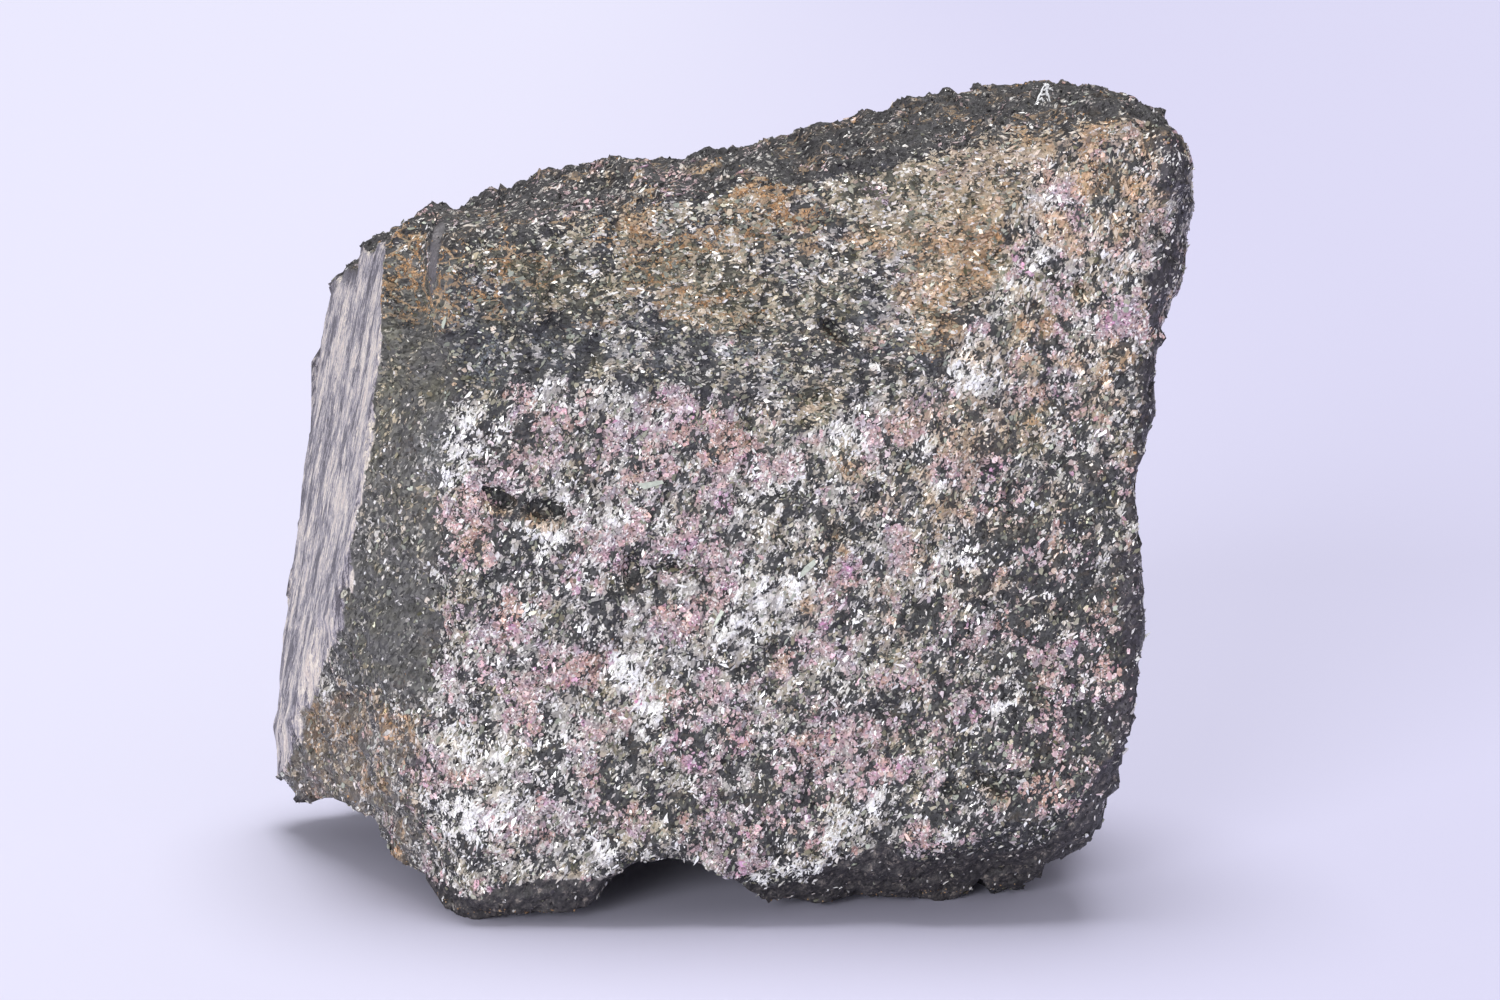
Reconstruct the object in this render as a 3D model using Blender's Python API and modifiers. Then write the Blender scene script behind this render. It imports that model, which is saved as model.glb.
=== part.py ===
"""A hand specimen of stichtite on chromite: one broken lump of rock.

Blender 4.5 script. Units are metres, +Z is up and +X runs along the rock's length.
The show face looks along -Y. The origin is at the middle of the rock's base.

The lump starts as an upright slab cut to the outline of the show face. It is then
dressed as a stone is with a chisel: each plane of the real break is one flat cut.
A remesh joins the cuts and three displacements roughen them. Last come the smooth
cleavage on the left and the level cut that leaves the flat spots under the feet.
"""

import math

import bpy
import bmesh
from mathutils import Euler, Matrix, Vector

MM = 0.001

# Driving dimensions, in millimetres. X is measured from the middle of the show face,
# Y from its front and Z from the surface that the rock rests on.
DEPTH = 52.0

# How far the raw slab stands out in front and behind, to be cut back by the facets.
OUTLINE_SPARE = 3.0

# How far the feet reach down before they are cut off level.
FOOT_SINK = 3.0

# Side of the box that cuts a flat face, larger than the whole rock.
CHISEL = 160.0

# Grid of the skin that joins the cuts, and the share of its faces that is kept.
SKIN_GRID = 1.25
FACES_KEPT = 0.22

# Roundness of the scoops.
SCOOP_SEGMENTS = 32
SCOOP_RINGS = 16

# Points closer than this are one point, in metres.
MERGE_DISTANCE = 0.00005

# Outline of the show face, clockwise from the lower left nose, as (x, z).
OUTLINE = (
    (-48.6, 3.8),
    (-51.4, 5.6),
    (-52.2, 10.6),
    (-51.0, 19.6),
    (-49.6, 32.6),
    (-48.0, 46.6),
    (-45.8, 60.6),
    (-42.2, 64.0),
    (-38.6, 67.8),
    (-33.3, 71.8),
    (-31.2, 73.2),
    (-25.6, 73.0),
    (-24.4, 74.2),
    (-19.8, 76.2),
    (-14.0, 77.6),
    (-7.4, 78.0),
    (-5.6, 77.0),
    (-3.2, 79.0),
    (1.6, 78.4),
    (8.5, 81.4),
    (14.6, 82.0),
    (19.4, 84.4),
    (26.0, 84.2),
    (32.5, 85.4),
    (40.4, 84.6),
    (45.6, 82.4),
    (47.6, 77.6),
    (47.0, 69.6),
    (44.4, 58.6),
    (42.2, 46.6),
    (41.8, 38.6),
    (42.8, 31.6),
    (41.6, 21.6),
    (39.8, 12.6),
    (37.4, 6.2),
    (33.0, 4.4),
    (30.6, -FOOT_SINK),
    (5.0, -FOOT_SINK),
    (2.4, 3.4),
    (-1.0, 5.4),
    (-5.8, 7.4),
    (-10.6, 7.6),
    (-12.4, 5.4),
    (-14.4, 1.6),
    (-18.6, -FOOT_SINK),
    (-28.8, -FOOT_SINK),
    (-32.0, 1.2),
    (-36.8, 3.8),
    (-41.0, 6.0),
    (-45.0, 6.2),
)

# Each flat cut: the name of the face it leaves, a point on that face and the way it looks.
FACETS = (
    ("left_strip", (-30.6, 1.6, 45.0), (-0.60, -0.80, 0.02)),
    ("lower_left_bevel", (-32.0, 3.5, 12.0), (-0.84, -0.50, -0.19)),
    ("brow", (0.0, 4.0, 76.8), (-0.19, -0.19, 1.0)),
    ("lean", (0.0, 0.0, 44.0), (0.0, -1.0, 0.055)),
    ("right_rim", (44.6, 2.5, 50.0), (0.80, -0.60, 0.0)),
    ("right_flank", (46.8, 13.0, 70.0), (0.985, 0.17, -0.06)),
    ("right_rear", (42.0, 35.0, 40.0), (0.80, 0.58, 0.05)),
    ("lower_right_bevel", (22.0, -0.5, 8.6), (0.15, -0.66, -0.75)),
    ("lower_right_corner", (37.6, 4.0, 10.0), (0.66, -0.55, -0.50)),
    ("left_toe", (-22.0, -2.4, 2.2), (-0.10, -0.72, -0.69)),
    ("back", (5.0, 51.0, 40.0), (0.05, 0.99, 0.10)),
    ("top_fall", (0.0, 26.0, 79.2), (-0.20, 0.34, 1.0)),
    ("back_top", (0.0, 44.0, 73.0), (-0.12, 0.75, 0.65)),
    ("back_left", (-48.0, 43.0, 34.0), (-0.55, 0.83, 0.08)),
    ("back_top_left", (-34.0, 44.0, 66.0), (-0.35, 0.70, 0.62)),
    ("back_under", (0.0, 48.0, 6.0), (0.05, 0.75, -0.66)),
)

# The smooth cleavage on the left, which is cut after the break is roughened.
CLEAVAGE = ("left_cleavage", (-36.0, 5.0, 61.0), (-1.0, -0.255, 0.15))

# The level cut, which leaves the flat spots that the rock rests on.
LEVEL = ("rest", (0.0, DEPTH / 2, 0.0), (0.0, 0.0, -1.0))

# Box cuts: name, middle, size and turn in degrees.
NOTCHES = (
    ("top_left_step", (-37.6, -1.4, 69.4), (16.0, 20.0, 44.0), (-33.0, 0.0, 14.5)),
    ("brow_hollow", (11.0, 3.0, 83.4), (17.0, 18.0, 9.0), (11.0, -8.0, 6.0)),
    ("right_toe_gap", (12.5, 0.0, -1.6), (21.0, 30.0, 6.0), (-7.0, 0.0, 4.0)),
)

# Scoops where chips sprang off the hidden sides and the base: name, middle and radius.
SCOOPS = (
    ("under_left", (-25.0, 22.0, -21.5), 24.5),
    ("under_right", (13.0, 25.0, -34.0), 37.5),
    ("under_right_rim", (32.0, 24.0, -15.0), 19.0),
    ("back_scoop_high", (24.0, 82.0, 62.0), 36.0),
    ("back_scoop_low", (-20.0, 92.0, 26.0), 44.0),
    ("right_scoop", (86.0, 32.0, 32.0), 45.0),
)

# Roughness of the break: name, texture type, size of the bumps and height of the bumps.
ROUGHNESS = (
    ("broad_swell", "CLOUDS", 17.0, 2.4),
    ("broken_blocks", "VORONOI", 8.0, 1.5),
    ("coarse_grain", "CLOUDS", 3.2, 1.2),
)

# Colour and roughness of the broken rock.
ROCK_COLOUR = (0.16, 0.14, 0.15, 1.0)
ROCK_ROUGHNESS = 0.7


def clear_scene():
    """Takes every object out of the scene that the file opened with."""
    for item in list(bpy.data.objects):
        bpy.data.objects.remove(item, do_unlink=True)


def new_collection(name):
    """Adds a collection to the scene."""
    collection = bpy.data.collections.new(name)
    bpy.context.scene.collection.children.link(collection)
    return collection


def move_to(item, collection):
    """Puts an object in one collection only."""
    for old in list(item.users_collection):
        old.objects.unlink(item)
    collection.objects.link(item)


def point(values):
    """Turns millimetres into a place in the scene."""
    return Vector(values) * MM


def slab_from_outline(name, outline, front, back):
    """Makes an upright slab with the outline in X and Z, between two Y values."""
    curve = bpy.data.curves.new(name + "_outline", "CURVE")
    curve.dimensions = "2D"
    curve.fill_mode = "BOTH"
    curve.extrude = (back - front) / 2 * MM
    spline = curve.splines.new("POLY")
    spline.points.add(len(outline) - 1)
    for spot, (x, z) in zip(spline.points, outline):
        spot.co = (x * MM, z * MM, 0.0, 1.0)
    spline.use_cyclic_u = True
    drawn = bpy.data.objects.new(name + "_drawn", curve)
    bpy.context.scene.collection.objects.link(drawn)
    drawn.rotation_euler = Euler((math.radians(90), 0.0, 0.0))
    drawn.location = (0.0, (front + back) / 2 * MM, 0.0)
    bpy.context.view_layer.update()
    evaluated = drawn.evaluated_get(bpy.context.evaluated_depsgraph_get())
    mesh = bpy.data.meshes.new_from_object(evaluated)
    mesh.name = name
    mesh.transform(drawn.matrix_world)
    bpy.data.objects.remove(drawn, do_unlink=True)
    shape = bmesh.new()
    shape.from_mesh(mesh)
    bmesh.ops.remove_doubles(shape, verts=shape.verts, dist=MERGE_DISTANCE)
    bmesh.ops.recalc_face_normals(shape, faces=shape.faces)
    shape.to_mesh(mesh)
    shape.free()
    return bpy.data.objects.new(name, mesh)


def box(name, size, collection, parent):
    """Adds a box that cuts and isn't part of the rock."""
    bpy.ops.mesh.primitive_cube_add(size=1.0)
    cutter = bpy.context.object
    cutter.name = name
    cutter.data.transform(Matrix.Diagonal((*point(size), 1.0)))
    finish_cutter(cutter, collection, parent)
    return cutter


def finish_cutter(cutter, collection, parent):
    """Keeps a cutter out of the model and lets it follow the rock."""
    move_to(cutter, collection)
    cutter.parent = parent
    cutter.hide_render = True
    cutter.display_type = "WIRE"


def cut_away(rock, cutter):
    """Takes the cutter's space out of the rock."""
    step = rock.modifiers.new(cutter.name, "BOOLEAN")
    step.operation = "DIFFERENCE"
    step.solver = "EXACT"
    step.object = cutter


def cut_flat(rock, facet, collection, parent):
    """Cuts one flat face: all that lies outside the facet's plane goes."""
    name, spot, facing = facet
    cutter = box("cut_" + name, (CHISEL, CHISEL, CHISEL), collection, parent)
    outward = Vector(facing).normalized()
    cutter.rotation_euler = outward.to_track_quat("Z", "Y").to_euler()
    cutter.location = point(spot) + outward * (CHISEL / 2 * MM)
    cut_away(rock, cutter)


def cut_notches(rock, collection, parent):
    """Cuts the step at the top left, the dip in the brow and the gap at the right toe."""
    for name, middle, size, turn in NOTCHES:
        cutter = box("notch_" + name, size, collection, parent)
        cutter.rotation_euler = Euler([math.radians(angle) for angle in turn])
        cutter.location = point(middle)
        cut_away(rock, cutter)


def scoop_chips(rock, collection, parent):
    """Scoops the shell-shaped chip scars and the hollows between the feet."""
    for name, middle, radius in SCOOPS:
        bpy.ops.mesh.primitive_uv_sphere_add(
            segments=SCOOP_SEGMENTS, ring_count=SCOOP_RINGS, radius=radius * MM
        )
        cutter = bpy.context.object
        cutter.name = "scoop_" + name
        cutter.location = point(middle)
        finish_cutter(cutter, collection, parent)
        cut_away(rock, cutter)


def roughen(rock):
    """Joins the cuts in one skin and gives the break its bumps."""
    skin = rock.modifiers.new("one_skin", "REMESH")
    skin.mode = "VOXEL"
    skin.voxel_size = SKIN_GRID * MM
    for name, kind, size, height in ROUGHNESS:
        texture = bpy.data.textures.new(name, kind)
        texture.noise_scale = size * MM
        bumps = rock.modifiers.new(name, "DISPLACE")
        bumps.texture = texture
        bumps.texture_coords = "LOCAL"
        bumps.strength = height * MM
        bumps.mid_level = 0.5
    fewer = rock.modifiers.new("fewer_faces", "DECIMATE")
    fewer.ratio = FACES_KEPT
    fewer.use_collapse_triangulate = True


def rock_material():
    """Plain finish of the broken rock."""
    material = bpy.data.materials.new("stichtite_and_chromite")
    material.use_nodes = True
    shader = material.node_tree.nodes["Principled BSDF"]
    shader.inputs["Base Color"].default_value = ROCK_COLOUR
    shader.inputs["Roughness"].default_value = ROCK_ROUGHNESS
    shader.inputs["Metallic"].default_value = 0.0
    return material


def centre_on_base(rock, parent):
    """Moves the rock and its cutters so that the origin is at the middle of the base."""
    bpy.context.view_layer.update()
    evaluated = rock.evaluated_get(bpy.context.evaluated_depsgraph_get())
    corners = [Vector(corner) for corner in evaluated.bound_box]
    low = [min(corner[axis] for corner in corners) for axis in (0, 1)]
    high = [max(corner[axis] for corner in corners) for axis in (0, 1)]
    parent.location = (-(low[0] + high[0]) / 2, -(low[1] + high[1]) / 2, 0.0)


def main():
    clear_scene()
    specimen = new_collection("stichtite_on_chromite")
    cutters = new_collection("cutters")

    base = bpy.data.objects.new("base_middle", None)
    specimen.objects.link(base)

    rock = slab_from_outline("stichtite_rock", OUTLINE, -OUTLINE_SPARE, DEPTH + OUTLINE_SPARE)
    specimen.objects.link(rock)
    rock.parent = base
    rock.data.materials.append(rock_material())

    for facet in FACETS:
        cut_flat(rock, facet, cutters, base)
    cut_notches(rock, cutters, base)
    scoop_chips(rock, cutters, base)
    roughen(rock)
    for facet in (CLEAVAGE, LEVEL):
        cut_flat(rock, facet, cutters, base)
    centre_on_base(rock, base)


main()
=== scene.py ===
"""A hand specimen of stichtite on chromite, on a pale studio floor.

The CAD solid gives the lump its shape. Here its surface is broken up finely, and grains, flakes, plates
and crusts of the real sizes are set into it. All work is in millimetres and becomes metres in the meshes.
"""
import itertools
import math
from collections import namedtuple

import bmesh
import bpy
import numpy as np
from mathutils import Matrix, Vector


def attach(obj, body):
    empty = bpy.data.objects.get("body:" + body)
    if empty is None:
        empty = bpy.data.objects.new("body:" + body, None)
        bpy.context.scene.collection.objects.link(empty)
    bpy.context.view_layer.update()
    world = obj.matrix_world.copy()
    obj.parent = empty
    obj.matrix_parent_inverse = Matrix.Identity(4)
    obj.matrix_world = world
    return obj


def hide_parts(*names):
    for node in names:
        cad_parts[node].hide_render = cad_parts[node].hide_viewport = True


bl_info = {
    "name": "Stichtite on Chromite",
    "version": (1, 0, 0),
    "blender": (4, 5, 0),
    "location": "3D View > Sidebar > Specimen",
    "description": "Breaks up the surface of a stone and sets mineral grains into it",
    "category": "Add Mesh",
}

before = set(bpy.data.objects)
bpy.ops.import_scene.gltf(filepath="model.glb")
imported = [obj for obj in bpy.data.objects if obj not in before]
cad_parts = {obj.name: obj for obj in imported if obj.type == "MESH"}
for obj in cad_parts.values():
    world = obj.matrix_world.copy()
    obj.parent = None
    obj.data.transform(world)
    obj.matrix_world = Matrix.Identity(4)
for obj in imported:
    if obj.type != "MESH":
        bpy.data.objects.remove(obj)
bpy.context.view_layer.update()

BODY = "root"
CAD_NODE = "stichtite_rock"
STONE = "rock_body"
MM = 0.001
BAKE_MAP = "OFBake"

# The smooth cleavage on the left: a point of it and its direction.
CLEAVAGE_POINT = np.array((-33.67, -20.99, 61.0))
CLEAVAGE_FACING = np.array((-0.9588, -0.2445, 0.1438))

# The small step behind the top of the cleavage.
NOTCH_RIGHT = -38.1
NOTCH_FLOOR = 65.2

# A patch on the show face: its middle, half sizes and turn, and how strong it is.
Patch = namedtuple("Patch", "x z wide high turn much")

# Clusters of pale silvery flakes; the white there is partly painted glint.
SILVER_AND_GLINT_PATCHES = (
    Patch(-23.0, 51.6, 2.4, 2.2, 10, 1.0),
    Patch(-25.4, 48.0, 1.6, 3.2, -20, 1.0),
    Patch(-16.6, 40.6, 3.6, 1.8, 10, 0.9),
    Patch(-8.8, 26.6, 3.0, 1.6, -25, 1.0),
    Patch(-6.6, 23.6, 1.8, 4.2, 12, 1.0),
    Patch(4.4, 35.0, 1.6, 4.4, -32, 0.9),
    Patch(7.6, 36.0, 2.0, 2.6, -20, 0.7),
    Patch(3.6, 31.0, 3.0, 2.2, -20, 0.7),
    Patch(13.8, 51.4, 1.4, 1.6, 0, 0.9),
    Patch(26.6, 58.6, 2.4, 2.8, 0, 0.8),
    Patch(31.6, 65.6, 2.6, 3.0, 20, 0.6),
    Patch(34.6, 75.0, 2.0, 1.4, 30, 0.5),
    Patch(42.0, 69.0, 1.8, 1.6, 0, 0.6),
    Patch(-21.5, 18.4, 6.0, 2.6, -8, 0.8),
    Patch(-23.5, 11.6, 5.0, 3.2, 12, 0.8),
    Patch(-31.5, 13.2, 3.4, 1.8, -15, 0.6),
    Patch(-10.8, 7.6, 4.6, 1.4, 8, 0.8),
    Patch(9.0, 5.4, 4.0, 2.2, 20, 0.8),
    Patch(13.6, 11.2, 3.2, 1.8, 25, 0.7),
    Patch(17.4, 14.0, 1.8, 1.4, 30, 0.8),
    Patch(30.6, 23.6, 2.4, 2.0, 30, 0.7),
    Patch(24.8, 37.5, 4.0, 1.6, 20, 0.5),
    Patch(-12.0, 68.8, 0.9, 1.0, 0, 0.9),
    Patch(-14.5, 77.2, 1.4, 0.9, 15, 0.7),
    Patch(0.8, 69.2, 0.5, 1.6, 20, 0.9),
    Patch(16.5, 59.6, 1.0, 1.0, 0, 0.7),
    Patch(-31.6, 56.4, 0.7, 0.7, 0, 1.0),
)
PINK_PATCHES = (
    Patch(-24.6, 42.2, 3.4, 4.6, 20, 1.0),
    Patch(-9.8, 51.4, 1.6, 2.2, -20, 1.0),
    Patch(-2.2, 52.4, 3.2, 1.8, 15, 0.9),
    Patch(1.8, 50.2, 2.0, 2.0, 0, 0.9),
    Patch(1.2, 45.0, 2.4, 1.6, 25, 0.8),
    Patch(-20.8, 33.4, 1.4, 2.6, -10, 0.9),
    Patch(-13.2, 27.0, 3.2, 1.4, 0, 0.9),
    Patch(-3.0, 32.4, 3.0, 2.2, 0, 0.6),
    Patch(28.0, 47.6, 3.6, 3.0, -20, 0.6),
    Patch(19.4, 51.4, 3.4, 1.8, 0, 0.8),
    Patch(34.6, 37.6, 5.4, 1.4, 5, 0.9),
    Patch(13.4, 37.6, 1.8, 1.4, 0, 0.8),
    Patch(-1.0, 13.4, 5.0, 2.4, 10, 0.4),
    Patch(33.6, 13.6, 5.0, 2.2, -12, 1.0),
    Patch(22.6, 9.4, 3.8, 2.2, 20, 0.9),
    Patch(29.6, 18.4, 3.0, 1.4, 15, 0.8),
    Patch(-21.0, 10.2, 5.6, 3.0, 12, 0.6),
    Patch(42.4, 63.6, 2.4, 2.6, -15, 1.0),
    Patch(40.0, 28.2, 2.2, 2.2, 0, 0.8),
    Patch(-29.6, 15.6, 4.0, 2.0, -18, 0.7),
    Patch(-10.6, 39.8, 4.0, 2.4, 0, 0.6),
    Patch(11.6, 19.6, 3.6, 1.6, 10, 0.4),
)
SALMON_PATCHES = (
    Patch(-20.8, 33.4, 1.3, 2.4, -10, 1.0),
    Patch(-13.0, 27.2, 2.4, 1.1, 0, 0.9),
    Patch(1.8, 50.4, 1.4, 2.2, 15, 1.0),
    Patch(-2.4, 51.4, 1.6, 1.4, 0, 0.8),
    Patch(33.8, 14.0, 4.2, 1.3, -12, 0.8),
    Patch(37.2, 15.4, 1.8, 1.4, 0, 0.9),
    Patch(40.0, 28.4, 1.9, 1.6, 0, 1.0),
    Patch(19.6, 51.8, 2.4, 0.9, 10, 0.7),
    Patch(38.6, 77.4, 1.0, 4.0, -12, 0.7),
    Patch(41.0, 71.6, 2.4, 0.9, 12, 0.6),
    Patch(24.0, 9.0, 1.6, 0.9, 15, 0.8),
    Patch(-25.0, 39.8, 1.6, 1.6, 0, 0.6),
)
MAGENTA_PATCHES = (
    Patch(-9.8, 52.0, 1.1, 1.5, -20, 1.0),
    Patch(0.6, 44.8, 1.6, 1.1, 25, 0.9),
    Patch(13.4, 37.4, 1.5, 1.1, 0, 1.0),
    Patch(20.2, 11.4, 1.4, 1.8, 0, 0.9),
    Patch(30.0, 48.2, 2.0, 1.8, 0, 0.6),
    Patch(27.0, 22.6, 1.0, 1.6, 20, 0.7),
    Patch(42.0, 63.6, 1.4, 1.4, 0, 0.8),
    Patch(-1.8, 17.2, 1.4, 1.2, 0, 0.7),
)
DARK_PATCHES = (
    Patch(-15.4, 50.2, 2.0, 1.8, 0, 0.9),
    Patch(-7.6, 37.0, 4.4, 3.2, -10, 0.8),
    Patch(-12.8, 36.4, 3.2, 2.2, 0, 0.8),
    Patch(-2.0, 43.2, 5.0, 1.4, 8, 0.7),
    Patch(16.4, 47.2, 2.8, 2.0, 0, 0.5),
    Patch(7.2, 28.8, 2.6, 2.0, 0, 1.0),
    Patch(19.4, 32.4, 4.4, 2.6, 0, 0.8),
    Patch(37.6, 32.0, 6.6, 4.6, 0, 0.8),
    Patch(22.0, 24.0, 6.4, 2.6, 10, 0.7),
    Patch(36.0, 22.6, 5.0, 3.0, 0, 0.7),
    Patch(-9.2, 16.4, 2.4, 3.4, 0, 0.8),
    Patch(-16.6, 12.4, 1.8, 2.0, 0, 0.6),
    Patch(3.0, 18.0, 2.6, 1.6, 0, 0.5),
    Patch(39.4, 45.6, 2.4, 5.4, 0, 0.6),
    Patch(29.2, 15.6, 2.2, 0.8, -25, 0.9),
    Patch(-24.2, 27.0, 1.8, 3.6, 0, 0.5),
    Patch(33.8, 56.0, 3.6, 1.8, 20, 0.6),
    Patch(20.0, 60.0, 4.4, 2.6, 0, 0.7),
)
RUST_PATCHES = (
    Patch(10.6, 73.6, 3.6, 1.0, -12, 0.9),
    Patch(15.8, 72.0, 2.4, 1.4, -30, 0.9),
    Patch(39.4, 82.6, 1.1, 2.8, -8, 1.0),
    Patch(38.4, 78.6, 1.3, 3.0, 25, 0.9),
    Patch(41.4, 77.2, 3.6, 1.2, -12, 0.9),
    Patch(41.0, 74.2, 3.6, 1.6, 8, 0.8),
    Patch(44.6, 78.6, 0.5, 3.0, 4, 0.9),
    Patch(36.6, 72.8, 2.8, 1.1, 20, 0.8),
    Patch(42.0, 57.6, 1.6, 3.2, -12, 0.9),
    Patch(13.2, 48.8, 1.4, 1.0, 0, 0.8),
    Patch(13.4, 40.4, 1.7, 1.4, 0, 0.9),
    Patch(-34.6, 20.4, 5.6, 2.6, -14, 0.7),
    Patch(-24.0, 40.4, 1.6, 0.6, -25, 0.7),
    Patch(-18.6, 43.8, 2.4, 0.8, -12, 0.7),
    Patch(-32.2, 69.8, 1.0, 0.6, -10, 0.7),
    Patch(-7.2, 70.0, 0.7, 5.0, 4, 0.6),
    Patch(34.6, 53.2, 3.6, 0.7, 25, 0.7),
    Patch(34.0, 63.4, 3.6, 1.5, 18, 0.7),
    Patch(36.4, 59.4, 3.0, 1.0, -8, 0.7),
    Patch(9.6, 34.0, 0.8, 1.6, -20, 0.6),
    Patch(10.6, 23.4, 1.8, 0.7, -40, 0.6),
)
OLIVE_PATCHES = (
    Patch(20.0, 75.4, 8.0, 4.6, -10, 0.9),
    Patch(26.0, 69.6, 6.0, 4.6, 0, 0.7),
    Patch(12.0, 54.6, 1.8, 1.4, 0, 1.0),
    Patch(-1.0, 66.0, 6.0, 5.0, 0, 0.6),
    Patch(38.0, 67.0, 4.6, 2.0, 20, 0.8),
    Patch(33.8, 52.4, 4.6, 2.2, 20, 0.6),
    Patch(-16.0, 68.0, 9.0, 3.2, 0, 0.5),
    Patch(-33.0, 45.0, 3.4, 5.0, 0, 0.4),
    Patch(19.4, 28.0, 2.6, 1.6, 0, 0.5),
)
DUSTY_PATCHES = (
    Patch(-23.8, 61.2, 2.2, 4.6, 0, 0.9),
    Patch(3.6, 58.4, 4.0, 2.2, -12, 0.8),
    Patch(-19.4, 65.2, 1.8, 1.2, 0, 0.8),
    Patch(-28.4, 50.0, 1.8, 4.0, 0, 0.4),
    Patch(-12.0, 60.4, 6.0, 1.8, 0, 0.4),
)

PITS = (
    Patch(-21.8, 45.2, 2.0, 1.0, -18, 1.0),
    Patch(-16.8, 44.0, 2.3, 1.3, -10, 1.0),
    Patch(-8.0, 37.6, 1.1, 1.7, 0, 0.9),
    Patch(7.0, 29.0, 1.4, 1.2, 0, 0.5),
    Patch(29.4, 15.4, 2.4, 0.7, -25, 0.6),
    Patch(12.8, 62.4, 2.0, 0.6, -40, 0.8),
    Patch(10.4, 55.6, 1.6, 0.8, 0, 0.7),
    Patch(37.8, 66.8, 0.5, 1.1, 20, 0.8),
    Patch(16.4, 45.0, 0.9, 1.1, 0, 0.5),
    Patch(25.0, 15.0, 1.4, 0.7, 10, 0.5),
    Patch(-3.2, 37.8, 4.0, 0.40, -3, 0.45),
    Patch(-3.4, 22.0, 4.6, 0.35, 48, 0.35),
    Patch(-25.6, 46.4, 1.8, 0.40, -35, 0.45),
    Patch(6.4, 45.2, 3.2, 0.35, 14, 0.35),
    Patch(33.0, 24.8, 2.6, 0.35, -16, 0.4),
)

GREY_BAND = (Patch(-13, 60.0, 22, 4.4, 0, 1.0), Patch(17, 61.0, 9, 3.6, 0, 1.0))
LOW_MIDDLE = (Patch(6.0, 16.0, 12, 9, 0, 1.0),)
MIDDLE_RIGHT = Patch(19.0, 42.0, 8, 7, 0, 1.0)
RISER = Patch(-28.3, 69.9, 0.58, 6.4, -6, 1.0)
KNOB = Patch(47.2, 79.8, 2.6, 3.8, 0, 1.0)
BY_RISER = Patch(-28.6, 70.0, 2.6, 7.0, 0, 1.0)
LISTED = {
    "silver": SILVER_AND_GLINT_PATCHES,
    "pink": PINK_PATCHES,
    "salmon": SALMON_PATCHES,
    "magenta": MAGENTA_PATCHES,
    "dark": DARK_PATCHES,
    "rust": RUST_PATCHES,
    "olive": OLIVE_PATCHES,
    "dusty": DUSTY_PATCHES,
}

# The longest leaves: half length and half width in place of the half sizes.
LONG_LEAVES = (
    Patch(-6.4, 46.8, 1.6, 0.42, 4, 1.6),
    Patch(10.2, 38.2, 1.5, 0.45, 52, 1.6),
    Patch(-0.9, 41.2, 1.4, 0.25, 72, 2.3),
    Patch(8.6, 35.4, 1.3, 0.22, 60, 1.2),
    Patch(-27.0, 63.0, 0.9, 0.3, 80, 1.4),
    Patch(1.2, 33.0, 1.5, 0.3, 58, 2.2),
)

# Lines on the show face, each a run of x and z.
UPPER_EDGE = ((-28, 55.4), (-17.4, 57.4), (1.0, 56.0), (9.2, 52.6), (19.4, 55.0), (24.5, 60.6), (29.0, 66.0),
              (30.0, 74.5), (34.5, 80.0), (50.0, 84.0))
TOP_BAND_EDGE = ((-40, 71.2), (-27.6, 73.4), (-21.5, 74.8), (-15.4, 77.7), (-6.2, 79.2), (1.0, 79.0), (7.7, 77.9),
                 (16.8, 78.4),
                 (20.5, 79.7), (23.0, 81.6), (29.6, 82.9), (36.0, 84.0), (50.0, 84.8))
# How far the top edge's steps and its notch lie below the plain solid.
TOP_DIPS = ((-29.0, 0.0), (-25.5, 1.1), (-23.9, 1.4), (-19.7, 1.5), (-17.8, 0.9), (-16.6, 0.0), (-5.2, 0.0),
            (-4.7, 2.0), (-3.8, 2.0), (-2.8, 0.1), (1.0, 0.0), (5.6, 0.1), (8.6, 1.0), (10.4, 1.1), (11.8, 0.0))
RIM_EDGE = ((39.6, 0.0), (40.4, 16.6), (41.4, 22.9), (42.4, 29.2), (42.9, 37.6), (43.1, 43.9), (44.0, 54.5),
            (44.8, 61.9), (45.0, 67.1), (46.8, 71.3), (47.2, 75.0), (46.6, 90.0))
STRIP_EDGE = ((-31.5, 0.0), (-30.4, 16.0), (-28.6, 24.0), (-28.2, 33.0), (-27.4, 44.0), (-26.2, 52.0),
              (-26.0, 90.0))
# The underside's height along the front of both feet.
FOOT_EDGE = ((-24.0, 0.0), (-21.3, 0.7), (-17.7, 1.2), (-14.6, 1.0), (-12.0, 1.7), (-10.4, 2.6), (-8.0, 0.0),
             (3.0, 0.0), (5.2, 0.9), (7.2, 0.4), (13.0, 0.6), (14.5, 1.1), (17.6, 0.7), (20.8, 0.7), (22.6, 0.0),
             (26.0, 0.0), (27.5, 0.6), (28.6, 2.8), (30.0, 0.0))
BEVEL_EDGE = ((-50, 5.0), (-41, 4.6), (-36.0, 3.4), (-33.5, 2.6), (-31.2, 2.6), (-28.7, 3.0), (-24.6, 3.1),
              (-21.5, 4.1), (-17.4, 5.2), (-11.3, 4.8), (-8.7, 6.0), (-6.2, 6.1), (-1.0, 4.4), (6.1, 3.2), (9.6, 4.2),
              (12.3, 6.0), (15.3, 7.6), (18.4, 8.7), (20.0, 7.4), (22.5, 5.8), (25.6, 7.1), (28.6, 6.6), (31.7, 7.1),
              (34.8, 7.6), (36.8, 10.3), (38.3, 12.4), (39.9, 14.5), (41.4, 16.6), (50.0, 22.0))


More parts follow.
